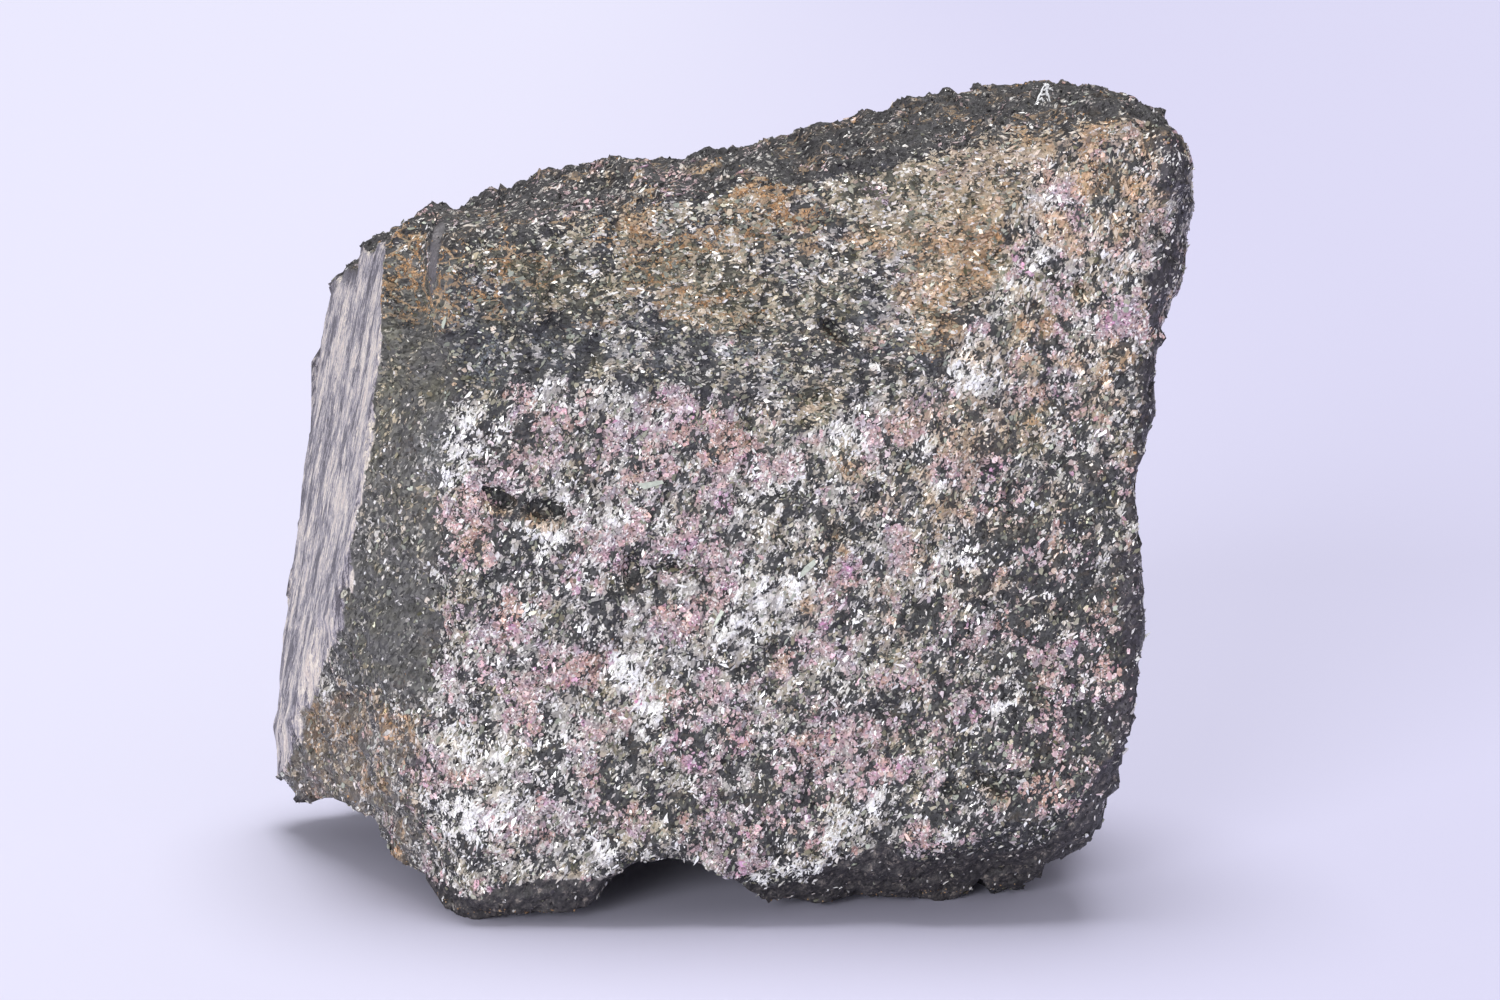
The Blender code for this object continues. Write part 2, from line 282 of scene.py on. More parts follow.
def hashed(x, y, z, salt):
    """Repeatable numbers from 0 to 1, one for each whole-number point of a grid."""
    def whole(v):
        return v.astype(np.int64).astype(np.uint32)

    mixed = whole(x) * np.uint32(374761393) + whole(y) * np.uint32(668265263)
    mixed = mixed + whole(z) * np.uint32(2246822519) + np.uint32(salt * 3266489917 % 2**32)
    mixed = (mixed ^ (mixed >> np.uint32(15))) * np.uint32(2246822519)
    mixed = (mixed ^ (mixed >> np.uint32(13))) * np.uint32(3266489917)
    mixed = mixed ^ (mixed >> np.uint32(16))
    return mixed.astype(np.float32) / np.float32(2**32)


def cloud(points, size, salt, layers=1, rough=0.55):
    """Soft noise from about -1 to 1, with features of that size in millimetres."""
    total = np.zeros(len(points), np.float32)
    reach = 0.0
    strength = 1.0
    for layer in range(layers):
        q = points / (size * 0.5**layer) + 17.3 * layer
        low = np.floor(q)
        part = q - low
        part = part * part * part * (part * (part * 6 - 15) + 10)
        value = np.zeros(len(points), np.float32)
        for corner in itertools.product((0, 1), repeat=3):
            share = np.ones(len(points), np.float32)
            for axis in range(3):
                share = share * (part[:, axis] if corner[axis] else 1 - part[:, axis])
            at = low + np.array(corner)
            value += share * hashed(at[:, 0], at[:, 1], at[:, 2], salt + 31 * layer)
        total += strength * (value * 2 - 1) * 1.6
        reach += strength
        strength *= rough
    return np.clip(total / reach, -1, 1)


def chips(points, size, salt):
    """Splits space into angular chips. Returns the nearest and second distances, the vector from the chip's
    middle, in chip sizes, and three random numbers for each chip."""
    q = points / size
    low = np.floor(q)
    near = np.full(len(points), 9.0, np.float32)
    second = near.copy()
    away = np.zeros((len(points), 3), np.float32)
    home = np.zeros((len(points), 3), np.float32)
    for step in itertools.product((-1, 0, 1), repeat=3):
        at = low + np.array(step)
        seed = np.stack([at[:, axis] + hashed(at[:, 0], at[:, 1], at[:, 2], salt + axis) for axis in range(3)], 1)
        gap = (q - seed).astype(np.float32)
        distance = np.sqrt((gap**2).sum(1))
        closer = distance < near
        second = np.where(closer, near, np.minimum(second, distance))
        near = np.where(closer, distance, near)
        away = np.where(closer[:, None], gap, away)
        home = np.where(closer[:, None], at, home)
    luck = np.stack([hashed(home[:, 0], home[:, 1], home[:, 2], salt + 7 + axis) for axis in range(3)], 1)
    return near, second, away, luck


def ease(low, high, value):
    """0 below low, 1 above high, and a smooth rise between. Low may be the larger."""
    part = np.clip((value - low) / (high - low), 0, 1)
    return part * part * (3 - 2 * part)


def patches(x, z, listed):
    """How strongly the listed patches cover points of the show face, from 0 to 1."""
    cover = np.zeros(len(x), np.float32)
    for patch in listed:
        turn = math.radians(patch.turn)
        across = ((x - patch.x) * math.cos(turn) + (z - patch.z) * math.sin(turn)) / patch.wide
        along = (-(x - patch.x) * math.sin(turn) + (z - patch.z) * math.cos(turn)) / patch.high
        cover = np.maximum(cover, patch.much * ease(1.35, 0.55, np.sqrt(across**2 + along**2)))
    return cover


def edge_height(x, line):
    """The height of a line of the show face at x."""
    xs, zs = np.array(line, float).T
    return np.interp(x, xs, zs)


def edge_place(z, line):
    """The x of a line of the show face that runs up and down, at height z."""
    xs, zs = np.array(line, float).T
    return np.interp(z, zs, xs)


def vein_lines(points):
    """Where thin rusty lines run, from 0 to 1: level threads, a net around the grains, and the threads'
    narrow middle."""
    sway = np.stack([cloud(points, 3.2, 90 + axis, 3) for axis in range(3)], 1)
    flow = points * np.array((0.26, 1.0, 1.0)) + 0.35 * sway
    line = np.minimum(np.abs(cloud(flow, 2.2, 21, 2)), np.abs(cloud(flow, 3.4, 24, 2)) * 1.3)
    near, second, _, _ = chips(points * np.array((0.7, 1, 1)) + 0.6 * sway, 2.2, 22)
    return ease(0.12, 0.02, line), ease(0.12, 0.02, second - near), ease(0.05, 0.015, line)


def mineral_zones(points, facing):
    """What the stone is made of at points whose broad surface direction is facing: a share from 0 to 1 for each kind of
    mineral or finish. The light share also carries painted shade, and the silver share painted glint."""
    sway = np.stack([cloud(points, 3.2, 90 + axis, 3) for axis in range(3)], 1)
    x = points[:, 0] + 1.2 * sway[:, 0]
    z = points[:, 2] + 1.2 * sway[:, 2]
    show = ease(0.25, 0.6, -facing[:, 1])
    off_plane = np.abs((points - CLEAVAGE_POINT) @ CLEAVAGE_FACING)
    plane = ease(0.80, 0.92, facing @ CLEAVAGE_FACING) * ease(1.5, 0.9, off_plane)
    by_top = points[:, 2] - edge_height(points[:, 0], TOP_BAND_EDGE)
    top = ease(0.35, 0.62, facing[:, 2]) * ease(-16, -9, by_top)
    top = top * (1 - 0.30 * ease(9, 1, points[:, 0]) * ease(-2, -11, points[:, 1]))
    back = ease(0.1, 0.6, facing[:, 1]) * (1 - plane)
    # Downward faces near the floor, which get painted shade.
    below = ease(-0.50, -0.80, facing[:, 2]) * ease(18, 10, points[:, 2])
    flank = ease(0.5, 0.8, facing[:, 0]) * ease(-18, -10, points[:, 1]) * (1 - show)
    riser = patches(points[:, 0], points[:, 2], (RISER,)) * ease(0.1, 0.3, -facing[:, 1])
    riser = riser * ease(-0.12, 0.12, -facing[:, 0])
    pit = patches(points[:, 0], points[:, 2], PITS) * show
    pit_foot = patches(points[:, 0], points[:, 2] + 1.0, PITS) * show * (1 - pit)
    upper = ease(-1.2, 1.2, z - edge_height(x, UPPER_EDGE)) * show
    band = ease(-0.5, 0.6, z - edge_height(x, TOP_BAND_EDGE)) * show
    # The right rim and the knob, partly darkened as painted shade.
    rim = ease(-0.35, 0.35, x - edge_place(z, RIM_EDGE) - 0.3 * sway[:, 1])
    rim = np.maximum(rim, patches(x, z, (KNOB,))) * show
    strip = ease(0.8, -1.2, x - edge_place(z, STRIP_EDGE)) * ease(20.5, 25.5, z) * ease(72, 66, z) * show
    bevel = ease(0.35, -0.25, points[:, 2] - edge_height(points[:, 0], BEVEL_EDGE) + 0.6 * sway[:, 1]) * show
    skin = np.clip(band + rim + bevel + riser, 0, 1)
    elsewhere = 1 - np.clip(show + plane, 0, 1)

    broad = cloud(points, 9.0, 11, 2)
    middle = cloud(points, 4.0, 12, 2)
    small = cloud(points, 2.4, 13, 3, 0.75)
    tiny = cloud(points * np.array((1.25, 1.0, 0.8)), 1.0, 27, 2, 0.7)
    spot = {name: patches(x, z, listed) * show for name, listed in LISTED.items()}
    gappy = ease(-0.45, 0.30, cloud(points, 1.3, 14, 2))

    lower = show * (1 - upper)
    pale_corner = upper * ease(14, 26, x) * ease(56, 64, z)
    grey_band = upper * patches(x, z, GREY_BAND)
    foot = lower * ease(-28, -34, x) * ease(24, 18, z)
    light = 0.465 + 0.03 * lower - 0.06 * upper + 0.28 * pale_corner
    light = light + 0.05 * broad + 0.09 * middle + (0.22 - 0.02 * upper) * small + 0.53 * tiny
    light = light + 0.34 * spot["silver"] * gappy + 0.08 * spot["pink"] - 0.26 * spot["dark"]
    beige = lower * ease(-4, 18, x) * ease(-0.5, 0.5, cloud(points, 3.0, 28, 3))
    light = light - 0.17 * grey_band - upper * (0.05 * ease(18, 8, x) + 0.26 * ease(-12, -20, x)) - 0.25 * foot
    light = light - 0.29 * lower * ease(18, 30, x) * ease(60, 42, z)
    light = light - 0.18 * lower * ease(-14, -20, x) * ease(30, 34, z)
    light = light - 0.06 * lower * ease(12, 20, x) * ease(28, 20, z) - 0.23 * lower * patches(x, z, LOW_MIDDLE)
    light = light - 0.66 * strip * ease(38, 32, z) + 0.07 * lower * patches(x, z, (MIDDLE_RIGHT,))
    # Painted shade: fewer light grains along the right rim, on downward faces near the floor and in the pits.
    light = light * (1 - 0.50 * strip) * (1 - 0.90 * band) * (1 - 0.72 * rim) * (1 - 0.92 * bevel) * (1 - riser)
    light = light * (1 - 0.62 * top) * (1 - 0.75 * below) * (1 - 0.9 * pit)
    light = light - elsewhere * (0.10 - 0.03 * broad - 0.05 * middle)

    pink = 0.40 + 0.30 * middle + 0.45 * cloud(points, 2.4, 15, 3, 0.7) + 0.5 * spot["pink"] - 0.5 * spot["silver"]
    pink = pink - 0.50 * upper - 0.1 * elsewhere + 0.18 * pale_corner + 0.4 * spot["salmon"] - 0.5 * strip
    pink = pink + 0.4 * spot["magenta"] - 0.25 * foot - 0.07 * lower - 0.04 * lower * ease(0, 14, x)
    pink = pink + 0.12 * lower * ease(2, 16, x) * ease(36, 24, z)
    salmon = 0.26 + 0.55 * cloud(points, 2.0, 16, 3, 0.7) + 0.5 * spot["salmon"] - 0.2 * spot["magenta"]
    salmon = salmon + 0.12 * pale_corner
    magenta = 0.02 + 0.50 * ease(0.25, 0.75, cloud(points, 1.7, 17, 2)) + 0.70 * spot["magenta"] * gappy
    olive = 0.26 + 0.24 * upper + 0.16 * pale_corner + 0.5 * spot["olive"] + 0.50 * cloud(points, 2.8, 18, 4, 0.7) + 0.10 * strip
    olive = olive * (1 - 0.8 * rim) * (1 - bevel) * (1 - 0.5 * top) * (1 - 0.6 * band) - 0.2 * grey_band

    thread, net, _ = vein_lines(points)
    corner = show * ease(-23, -27, x) * ease(62, 65, z)
    veined = upper * ease(16, 4, x) * ease(60, 67, z)
    patchy = ease(-0.20, 0.40, cloud(points, 3.6, 25, 2))
    threaded = patchy * (veined + 0.75 * pale_corner + 0.12 * top + 0.12 * lower) * (1 - corner)
    netted = np.maximum(corner, 0.35 * patchy * elsewhere)
    for mask in (threaded, netted):
        mask *= (1 - bevel) * (1 - riser) * (1 - 0.85 * band) * (1 - plane)
    veins = np.maximum(thread * threaded, net * netted)
    rust = 1.10 * spot["rust"] * ease(-0.5, 0.4, small + 0.8 * tiny)
    patchy = ease(0.05, 0.7, cloud(points, 3.4, 23, 4, 0.7))
    rust = rust + patchy * (0.18 + 0.25 * elsewhere + 0.60 * pale_corner + 0.34 * upper + 0.45 * foot + 0.2 * top)
    rust = rust + 0.50 * beige * (1 - 0.7 * ease(38, 26, z)) + 0.52 * pale_corner + 0.10 * lower * ease(-0.2, 0.7, tiny)
    rim_edge = ease(0.60, 1.0, 4 * rim * (1 - rim)) * show
    rust = rust * (1 - 0.5 * corner) + 0.45 * foot + 0.25 * veins + 0.8 * pit_foot + 0.5 * rim_edge
    rust = np.clip(rust, 0, 1) * (1 - 0.7 * bevel) * (1 - 0.5 * band) * (1 - 0.55 * ease(0.6, 1.0, rim))

    dusty = spot["dusty"] * ease(-0.6, 0.5, small) + 0.25 * grey_band * ease(-0.2, 0.6, middle)
    # The silver share: pale flakes, whitened partly as painted glint.
    silver = spot["silver"] * gappy + 0.5 * ease(0.25, 0.75, cloud(points, 2.2, 19, 3, 0.7)) * lower * (1 - strip)
    shares = {
        "light": light, "pink": pink, "salmon": salmon, "magenta": magenta, "olive": olive, "rust": rust,
        "veins": veins, "threaded": threaded, "netted": netted, "dusty": dusty, "silver": silver, "plane": plane, "skin": skin, "bevel": bevel,
        "riser": riser, "strip": strip, "pit": pit, "stained": foot, "flank": flank, "calm": np.maximum(strip, 0.8 * foot), "back": back, "upper": upper, "show": show, "top": top, "rim": rim,
    }
    for kept in ("light", "pink", "rust", "silver", "olive", "dusty"):
        shares[kept] = shares[kept] * (1 - plane)
    return {kind: np.clip(share, 0, 1).astype(np.float32) for kind, share in shares.items()}


def over(one, other, share):
    """One colour going over to the other, at every point, as its share rises."""
    share = np.clip(share, 0, 1)[:, None]
    return one * (1 - share) + np.array(other) * share


def light_colours(zones, colours):
    """The colour of the light minerals at every point, whitened towards the silver patches partly as painted glint."""
    made = np.tile(np.array(colours.flake_grey_shaded), (len(zones["light"]), 1))
    made = over(made, colours.flake_white_and_glint, 0.10 + zones["silver"])
    made = over(made, colours.flake_cream, ease(0.15, 0.75, zones["olive"]))
    pinks = np.tile(np.array(colours.stichtite_pink), (len(made), 1))
    pinks = over(pinks, colours.stichtite_lilac, ease(0.30, 0.05, zones["salmon"]))
    pinks = over(pinks, colours.stichtite_salmon, ease(0.40, 0.75, zones["salmon"]))
    pinks = over(pinks, colours.stichtite_magenta, ease(0.25, 0.80, zones["magenta"]))
    share = ease(0.34, 0.56, zones["pink"])[:, None]
    made = made * (1 - share) + pinks * share
    made = over(made, colours.limonite_tan, 0.85 * ease(0.15, 0.80, zones["rust"]))
    return over(made, colours.limonite_ochre, 0.50 * ease(0.75, 1.0, zones["rust"]))


def dark_colours(zones, colours):
    """The colour of the dark minerals at every point, darker in the pits as painted shade."""
    made = np.tile(np.array(colours.chromite_black), (len(zones["light"]), 1))
    made = over(made, colours.chromite_grey, 0.7 * zones["strip"])
    made = over(made, colours.serpentine_olive, 0.38 * ease(0.35, 0.95, zones["olive"]) * (1 - zones["skin"]))
    made = over(made, colours.chromite_violet, np.maximum(np.maximum(zones["rim"], zones["bevel"]), 0.7 * zones["top"]))
    made = over(made, colours.chromite_brown, 0.60 * ease(0.30, 0.90, zones["rust"]))
    # Painted shade: the dark minerals darken in the pits.
    return made * ((1 - 0.35 * zones["pit"]) * (1 - 0.35 * zones["top"]))[:, None]


def relief(points, zones):
    """How far the broken surface stands out of the plain solid, in millimetres."""
    plane, upper, skin, bevel = zones["plane"], zones["upper"], zones["skin"], zones["bevel"]
    by_riser = patches(points[:, 0], points[:, 2], (BY_RISER,)) * zones["show"]
    rough = np.clip(1 - 0.6 * bevel, 0, 1) * (1 - plane) * (1 - 0.95 * zones["riser"]) * (1 - 0.45 * by_riser)
    rough = rough * (1 - 0.45 * zones["rim"])
    coarse = 0.70 + 0.30 * (1 - zones["show"]) + 0.15 * skin

    _, _, away, luck = chips(points, 9.0, 51)
    facets = (away * (luck - 0.5) * 2).sum(1) * 2.6 + (luck[:, 0] - 0.5) * 1.2
    _, _, away, luck = chips(points, 3.4, 40)
    tilt = (luck - 0.5) * 2
    big = (away * tilt).sum(1) * 0.55 + (luck[:, 0] - 0.5) * 0.45
    _, _, away, luck = chips(points + 0.3 * cloud(points, 1.0, 44)[:, None], 1.35, 41)
    mid = (away * (luck - 0.5) * 2).sum(1) * 0.44 + (luck[:, 1] - 0.5) * 0.34
    near, second, away, luck = chips(points, 0.72, 42)
    fine = (away * (luck - 0.5) * 2).sum(1) * 0.20 + (luck[:, 2] - 0.5) * 0.18
    height = rough * (coarse * big + (0.7 + 0.3 * coarse) * mid + fine) + zones["back"] * facets
    height = height + zones["flank"] * (0.45 * facets - 0.9)

    flow = points * np.array((0.5, 1.0, 1.0))
    near, second, _, luck = chips(flow + 0.35 * cloud(points, 1.6, 45)[:, None], 1.9, 43)
    lumps = ease(0.0, 0.5, second - near) * (0.25 + 0.35 * luck[:, 0])
    height = height + rough * upper * (lumps - 0.25)
    height = height + rough * 0.35 * cloud(points, 6.0, 46, 2)
    height = height + 0.7 * patches(points[:, 0], points[:, 2], (KNOB,)) * zones["show"]
    height = height + bevel * (0.22 * cloud(points, 2.4, 47, 3) + 0.16 * cloud(points, 0.8, 48))
    height = height - 0.30 * ease(0.25, 0.75, cloud(points, 1.2, 53, 2)) * (bevel + zones["skin"] * rough)
    height = height - 0.20 * zones["veins"] * rough + 0.10 * zones["silver"] * rough

    across = points[:, 1] * 0.9 + points[:, 2] * 0.42
    along = points[:, 2] * 0.9 - points[:, 1] * 0.42
    streaks = np.stack([points[:, 0] * 0.3, across * 0.4, along * 0.07], 1)
    height = height + plane * (0.07 * cloud(streaks, 0.5, 49, 3) + 0.10 * cloud(points, 7.0, 50, 2))
    return height


def vertex_arrays(mesh):
    """The mesh's points in millimetres and its vertex normals."""
    count = len(mesh.vertices)
    points = np.empty(count * 3, np.float32)
    mesh.vertices.foreach_get("co", points)
    normals = np.empty(count * 3, np.float32)
    mesh.vertex_normals.foreach_get("vector", normals)
    return points.reshape(-1, 3) / np.float32(MM), normals.reshape(-1, 3)


def broad_directions(mesh, normals, rounds):
    """Vertex normals averaged with their neighbours' several times over."""
    ends = np.empty(len(mesh.edges) * 2, np.int32)
    mesh.edges.foreach_get("vertices", ends)
    one, other = ends.reshape(-1, 2).T
    facing = normals.astype(np.float64)
    count = len(mesh.vertices)
    for _ in range(rounds):
        summed = [
            np.bincount(one, facing[other, axis], count) + np.bincount(other, facing[one, axis], count)
            for axis in range(3)
        ]
        facing = facing + np.stack(summed, 1)
        facing /= np.maximum(np.linalg.norm(facing, axis=1, keepdims=True), 1e-9)
    return facing.astype(np.float32)


def applied(rock):
    """Replaces the object's mesh by what its modifiers make of it."""
    graph = bpy.context.evaluated_depsgraph_get()
    made = bpy.data.meshes.new_from_object(rock.evaluated_get(graph))
    rock.modifiers.clear()
    rock.data = made
    return made


def share_attribute(mesh, name, values):
    """Stores one number for each vertex, for the materials to read."""
    attribute = mesh.attributes.get(name) or mesh.attributes.new(name, "FLOAT", "POINT")
    attribute.data.foreach_set("value", values.astype(np.float32))


def colour_attribute(mesh, name, colours):
    """Stores one colour for each vertex, for the materials to read."""
    attribute = mesh.attributes.new(name, "FLOAT_COLOR", "POINT")
    opaque = np.ones((len(colours), 1))
    attribute.data.foreach_set("color", np.concatenate([colours, opaque], 1).astype(np.float32).ravel())


def finish_piece(piece, material, replaces_cad=False):
    """Puts the piece in its place in the frame and gives it its material."""
    if piece is None or not len(piece.data.polygons):
        raise RuntimeError("the piece has no faces")
    piece.data.materials.clear()
    piece.data.materials.append(material)
    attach(piece, BODY)
    if replaces_cad:
        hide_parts(CAD_NODE)


def stone_map(mesh, points, facing):
    """Lays the stone's faces out flat, seen along six directions, with the show face largest."""
    corners = np.empty(len(mesh.loops), np.int32)
    mesh.loops.foreach_get("vertex_index", corners)
    triangles = corners.reshape(-1, 3)
    direction = facing[triangles].sum(1)
    ways = np.array(((0, -1, 0), (0, 1, 0), (-1, 0, 0), (1, 0, 0), (0, 0, 1), (0, 0, -1)), float)
    liking = np.array((1.25, 1.0, 1.0, 1.0, 1.0, 1.0))
    chosen = np.argmax((direction @ ways.T) * liking, 1)
    middle = points[corners]
    x, y, z = middle[:, 0] + 53, middle[:, 1] + 31, middle[:, 2] + 2
    flat = {
        0: (x, z, 0.0, 0.0, 0.62),
        1: (106 - x, z, 0.63, 0.0, 0.36),
        2: (62 - y, z, 0.0, 0.55, 0.52),
        3: (y, z, 0.32, 0.55, 0.52),
        4: (x, y, 0.63, 0.33, 0.36),
        5: (x, 62 - y, 0.63, 0.56, 0.36),
    }
    width = 106.0
    loops_way = np.repeat(chosen, 3)
    u = np.zeros(len(corners))
    v = np.zeros(len(corners))
    for way, (across, up, left, foot, size) in flat.items():
        mine = loops_way == way
        u[mine] = left + across[mine] / width * size
        v[mine] = foot + up[mine] / width * size
    layer = mesh.uv_layers.new(name=BAKE_MAP)
    layer.data.foreach_set("uv", np.stack([u, v], 1).astype(np.float32).ravel())


class Value:
    """A socket of a material. Python's operators on it add Math nodes."""

    def __init__(self, finish, socket):
        self.finish = finish
        self.socket = socket

    def _math(self, operation, one, other, clamp=False):
        settings = {"operation": operation, "use_clamp": clamp}
        return self.finish.node("ShaderNodeMath", settings, {0: one, 1: other})[0]

    def __add__(self, other):
        return self._math("ADD", self, other)

    def __radd__(self, other):
        return self._math("ADD", other, self)

    def __sub__(self, other):
        return self._math("SUBTRACT", self, other)

    def __rsub__(self, other):
        return self._math("SUBTRACT", other, self)

    def __mul__(self, other):
        return self._math("MULTIPLY", self, other)

    def __rmul__(self, other):
        return self._math("MULTIPLY", other, self)

    def __pow__(self, other):
        return self._math("POWER", self, other)

    def most(self, other):
        """The larger of the two."""
        return self._math("MAXIMUM", self, other)

    def held(self):
        """The value kept between 0 and 1."""
        return self._math("ADD", self, 0.0, clamp=True)

    def rise(self, low, high):
        """0 below low, 1 above high, and a smooth rise between."""
        settings = {"interpolation_type": "SMOOTHSTEP"}
        inputs = {"Value": self, "From Min": low, "From Max": high, "To Min": 0.0, "To Max": 1.0}
        return self.finish.node("ShaderNodeMapRange", settings, inputs)["Result"]


class Outputs:
    """The outputs of one node, by name or number."""

    def __init__(self, finish, node):
        self.finish = finish
        self.sockets = node.outputs

    def __getitem__(self, key):
        return Value(self.finish, self.sockets[key])


class Finish:
    """A material while it is being made."""

    def __init__(self, name):
        self.material = bpy.data.materials.new(name)
        self.material.use_nodes = True
        self.tree = self.material.node_tree
        self.tree.nodes.clear()
        self.shader = self.tree.nodes.new("ShaderNodeBsdfPrincipled")
        output = self.tree.nodes.new("ShaderNodeOutputMaterial")
        self.tree.links.new(self.shader.outputs[0], output.inputs["Surface"])

    def node(self, kind, settings=None, inputs=None):
        """Adds a node of that type: its settings first, then the values or links of its sockets."""
        node = self.tree.nodes.new(kind)
        for setting, value in (settings or {}).items():
            if setting == "stops":
                self._stops(node.color_ramp, value)
            else:
                setattr(node, setting, value)
        for key, value in (inputs or {}).items():
            self._feed(node.inputs[key], value)
        return Outputs(self, node)

    def _stops(self, ramp, stops):
        while len(ramp.elements) < len(stops):
            ramp.elements.new(1.0)
        for element, (place, colour) in zip(ramp.elements, stops):
            element.position = place
            element.color = tuple(colour)[:3] + (1.0,)

    def _feed(self, socket, value):
        if isinstance(value, Value):
            self.tree.links.new(value.socket, socket)
        elif hasattr(value, "__len__") and socket.type == "RGBA":
            socket.default_value = tuple(value)[:3] + (1.0,)
        elif hasattr(value, "__len__"):
            socket.default_value = tuple(value)
        else:
            socket.default_value = value

    def set(self, **sockets):
        """Sets or links the shader's own sockets, named with underscores for spaces."""
        for name, value in sockets.items():
            self._feed(self.shader.inputs[name.replace("_", " ")], value)

    def share(self, name):
        """A number that the mesh stores at its vertices."""
        return self.node("ShaderNodeAttribute", {"attribute_name": name})["Fac"]

    def tint(self, name):
        """A colour that the mesh stores at its vertices."""
        return self.node("ShaderNodeAttribute", {"attribute_name": name})["Color"]

    def blend(self, factor, one, other, how="MIX"):
        """One colour going over to the other as the factor rises."""
        settings = {"data_type": "RGBA", "blend_type": how, "clamp_factor": True}
        return self.node("ShaderNodeMix", settings, {0: factor, 6: one, 7: other})[2]

    def ramp(self, factor, *stops, how="LINEAR"):
        """A colour ramp: each stop is a place from 0 to 1 and a colour."""
        made = self.node("ShaderNodeValToRGB", {"stops": stops}, {0: factor})
        made.sockets[0].node.color_ramp.interpolation = how
        return made["Color"]

    def vector(self, operation, one, other=None, scale=None):
        """Vector Math."""
        inputs = {0: one}
        if other is not None:
            inputs[1] = other
        if scale is not None:
            inputs["Scale"] = scale
        return self.node("ShaderNodeVectorMath", {"operation": operation}, inputs)[0]

    def places(self):
        """Where a point is on the object, in millimetres."""
        here = self.node("ShaderNodeTexCoord")["Object"]
        return self.vector("SCALE", here, scale=1 / MM)

    def noise(self, places, size, detail=2.0, rough=0.55, output="Fac"):
        """Cloudy noise with features of that size in millimetres."""
        inputs = {"Vector": places, "Scale": 1 / size, "Detail": detail, "Roughness": rough}
        return self.node("ShaderNodeTexNoise", {}, inputs)[output]

    def grains(self, places, size, stretch=(1, 1, 1), turn=(0, 0, 0)):
        """Angular grains of that size: their random colour and the distance from their middle."""
        turned = self.node(
            "ShaderNodeMapping",
            {"vector_type": "TEXTURE"},
            {"Vector": places, "Rotation": tuple(math.radians(a) for a in turn), "Scale": stretch},
        )[0]
        return self.node("ShaderNodeTexVoronoi", {}, {"Vector": turned, "Scale": 1 / size, "Randomness": 1.0})

    def parts(self, colour):
        """The three parts of a colour, as numbers."""
        split = self.node("ShaderNodeSeparateColor", {}, {0: colour})
        return split[0], split[1], split[2]

    def bump(self, height, distance, strength=1.0, normal=None):
        """Small relief from a height, in millimetres."""
        inputs = {"Height": height, "Distance": distance * MM, "Strength": strength}
        if normal is not None:
            inputs["Normal"] = normal
        return self.node("ShaderNodeBump", {}, inputs)["Normal"]


def tint(name, what, colour):
    """A colour that a user can change."""
    return bpy.props.FloatVectorProperty(
        name=name, description=what, default=colour, size=3, min=0, max=1, subtype="COLOR"
    )


def length(name, what, default, low, high):
    """A size in metres that a user can change."""
    return bpy.props.FloatProperty(
        name=name, description=what, default=default, min=low, max=high, subtype="DISTANCE", unit="LENGTH"
    )


def number(name, what, default, low, high):
    """A plain number that a user can change."""
    return bpy.props.FloatProperty(name=name, description=what, default=default, min=low, max=high)


def many(name, what, default):
    """A number of grains that a user can change."""
    return bpy.props.IntProperty(name=name, description=what, default=default, min=1, max=200000)


class StoneSizes(bpy.types.PropertyGroup):
    """Sizes of the stone's mesh and of the pieces set into it."""

    mesh_step: length("Mesh step", "Edge length of the stone's mesh", 0.43 * MM, 0.2 * MM, 3 * MM)
    most_faces: many("Most faces", "Triangles that the stone's mesh may have", 190000)
    roughness: number("Roughness", "How strongly the surface is broken up", 1.0, 0.0, 3.0)
    plate_count: many("Stichtite plates", "How many pink plates are set into the stone", 19000)
    plate_size: length("Plate size", "Half width of a pink plate", 0.23 * MM, 0.05 * MM, 3 * MM)
    flake_count: many("Silvery flakes", "How many bright flakes are set into the stone", 32000)
    flake_size: length("Flake size", "Half width of a bright flake", 0.155 * MM, 0.05 * MM, 2 * MM)
    grain_count: many("Chromite grains", "How many black grains are set into the stone", 22000)
    grain_size: length("Grain size", "Half width of a black grain", 0.20 * MM, 0.05 * MM, 2 * MM)
    crust_count: many("Limonite crumbs", "How many rusty crumbs lie in the veins", 11000)
    crust_size: length("Crumb size", "Half width of a rusty crumb", 0.11 * MM, 0.05 * MM, 2 * MM)
    leaf_count: many("Serpentine leaves", "How many grey-green leaves are set into the stone", 14000)
    leaf_size: length("Leaf size", "Half width of a grey-green leaf", 0.20 * MM, 0.05 * MM, 3 * MM)


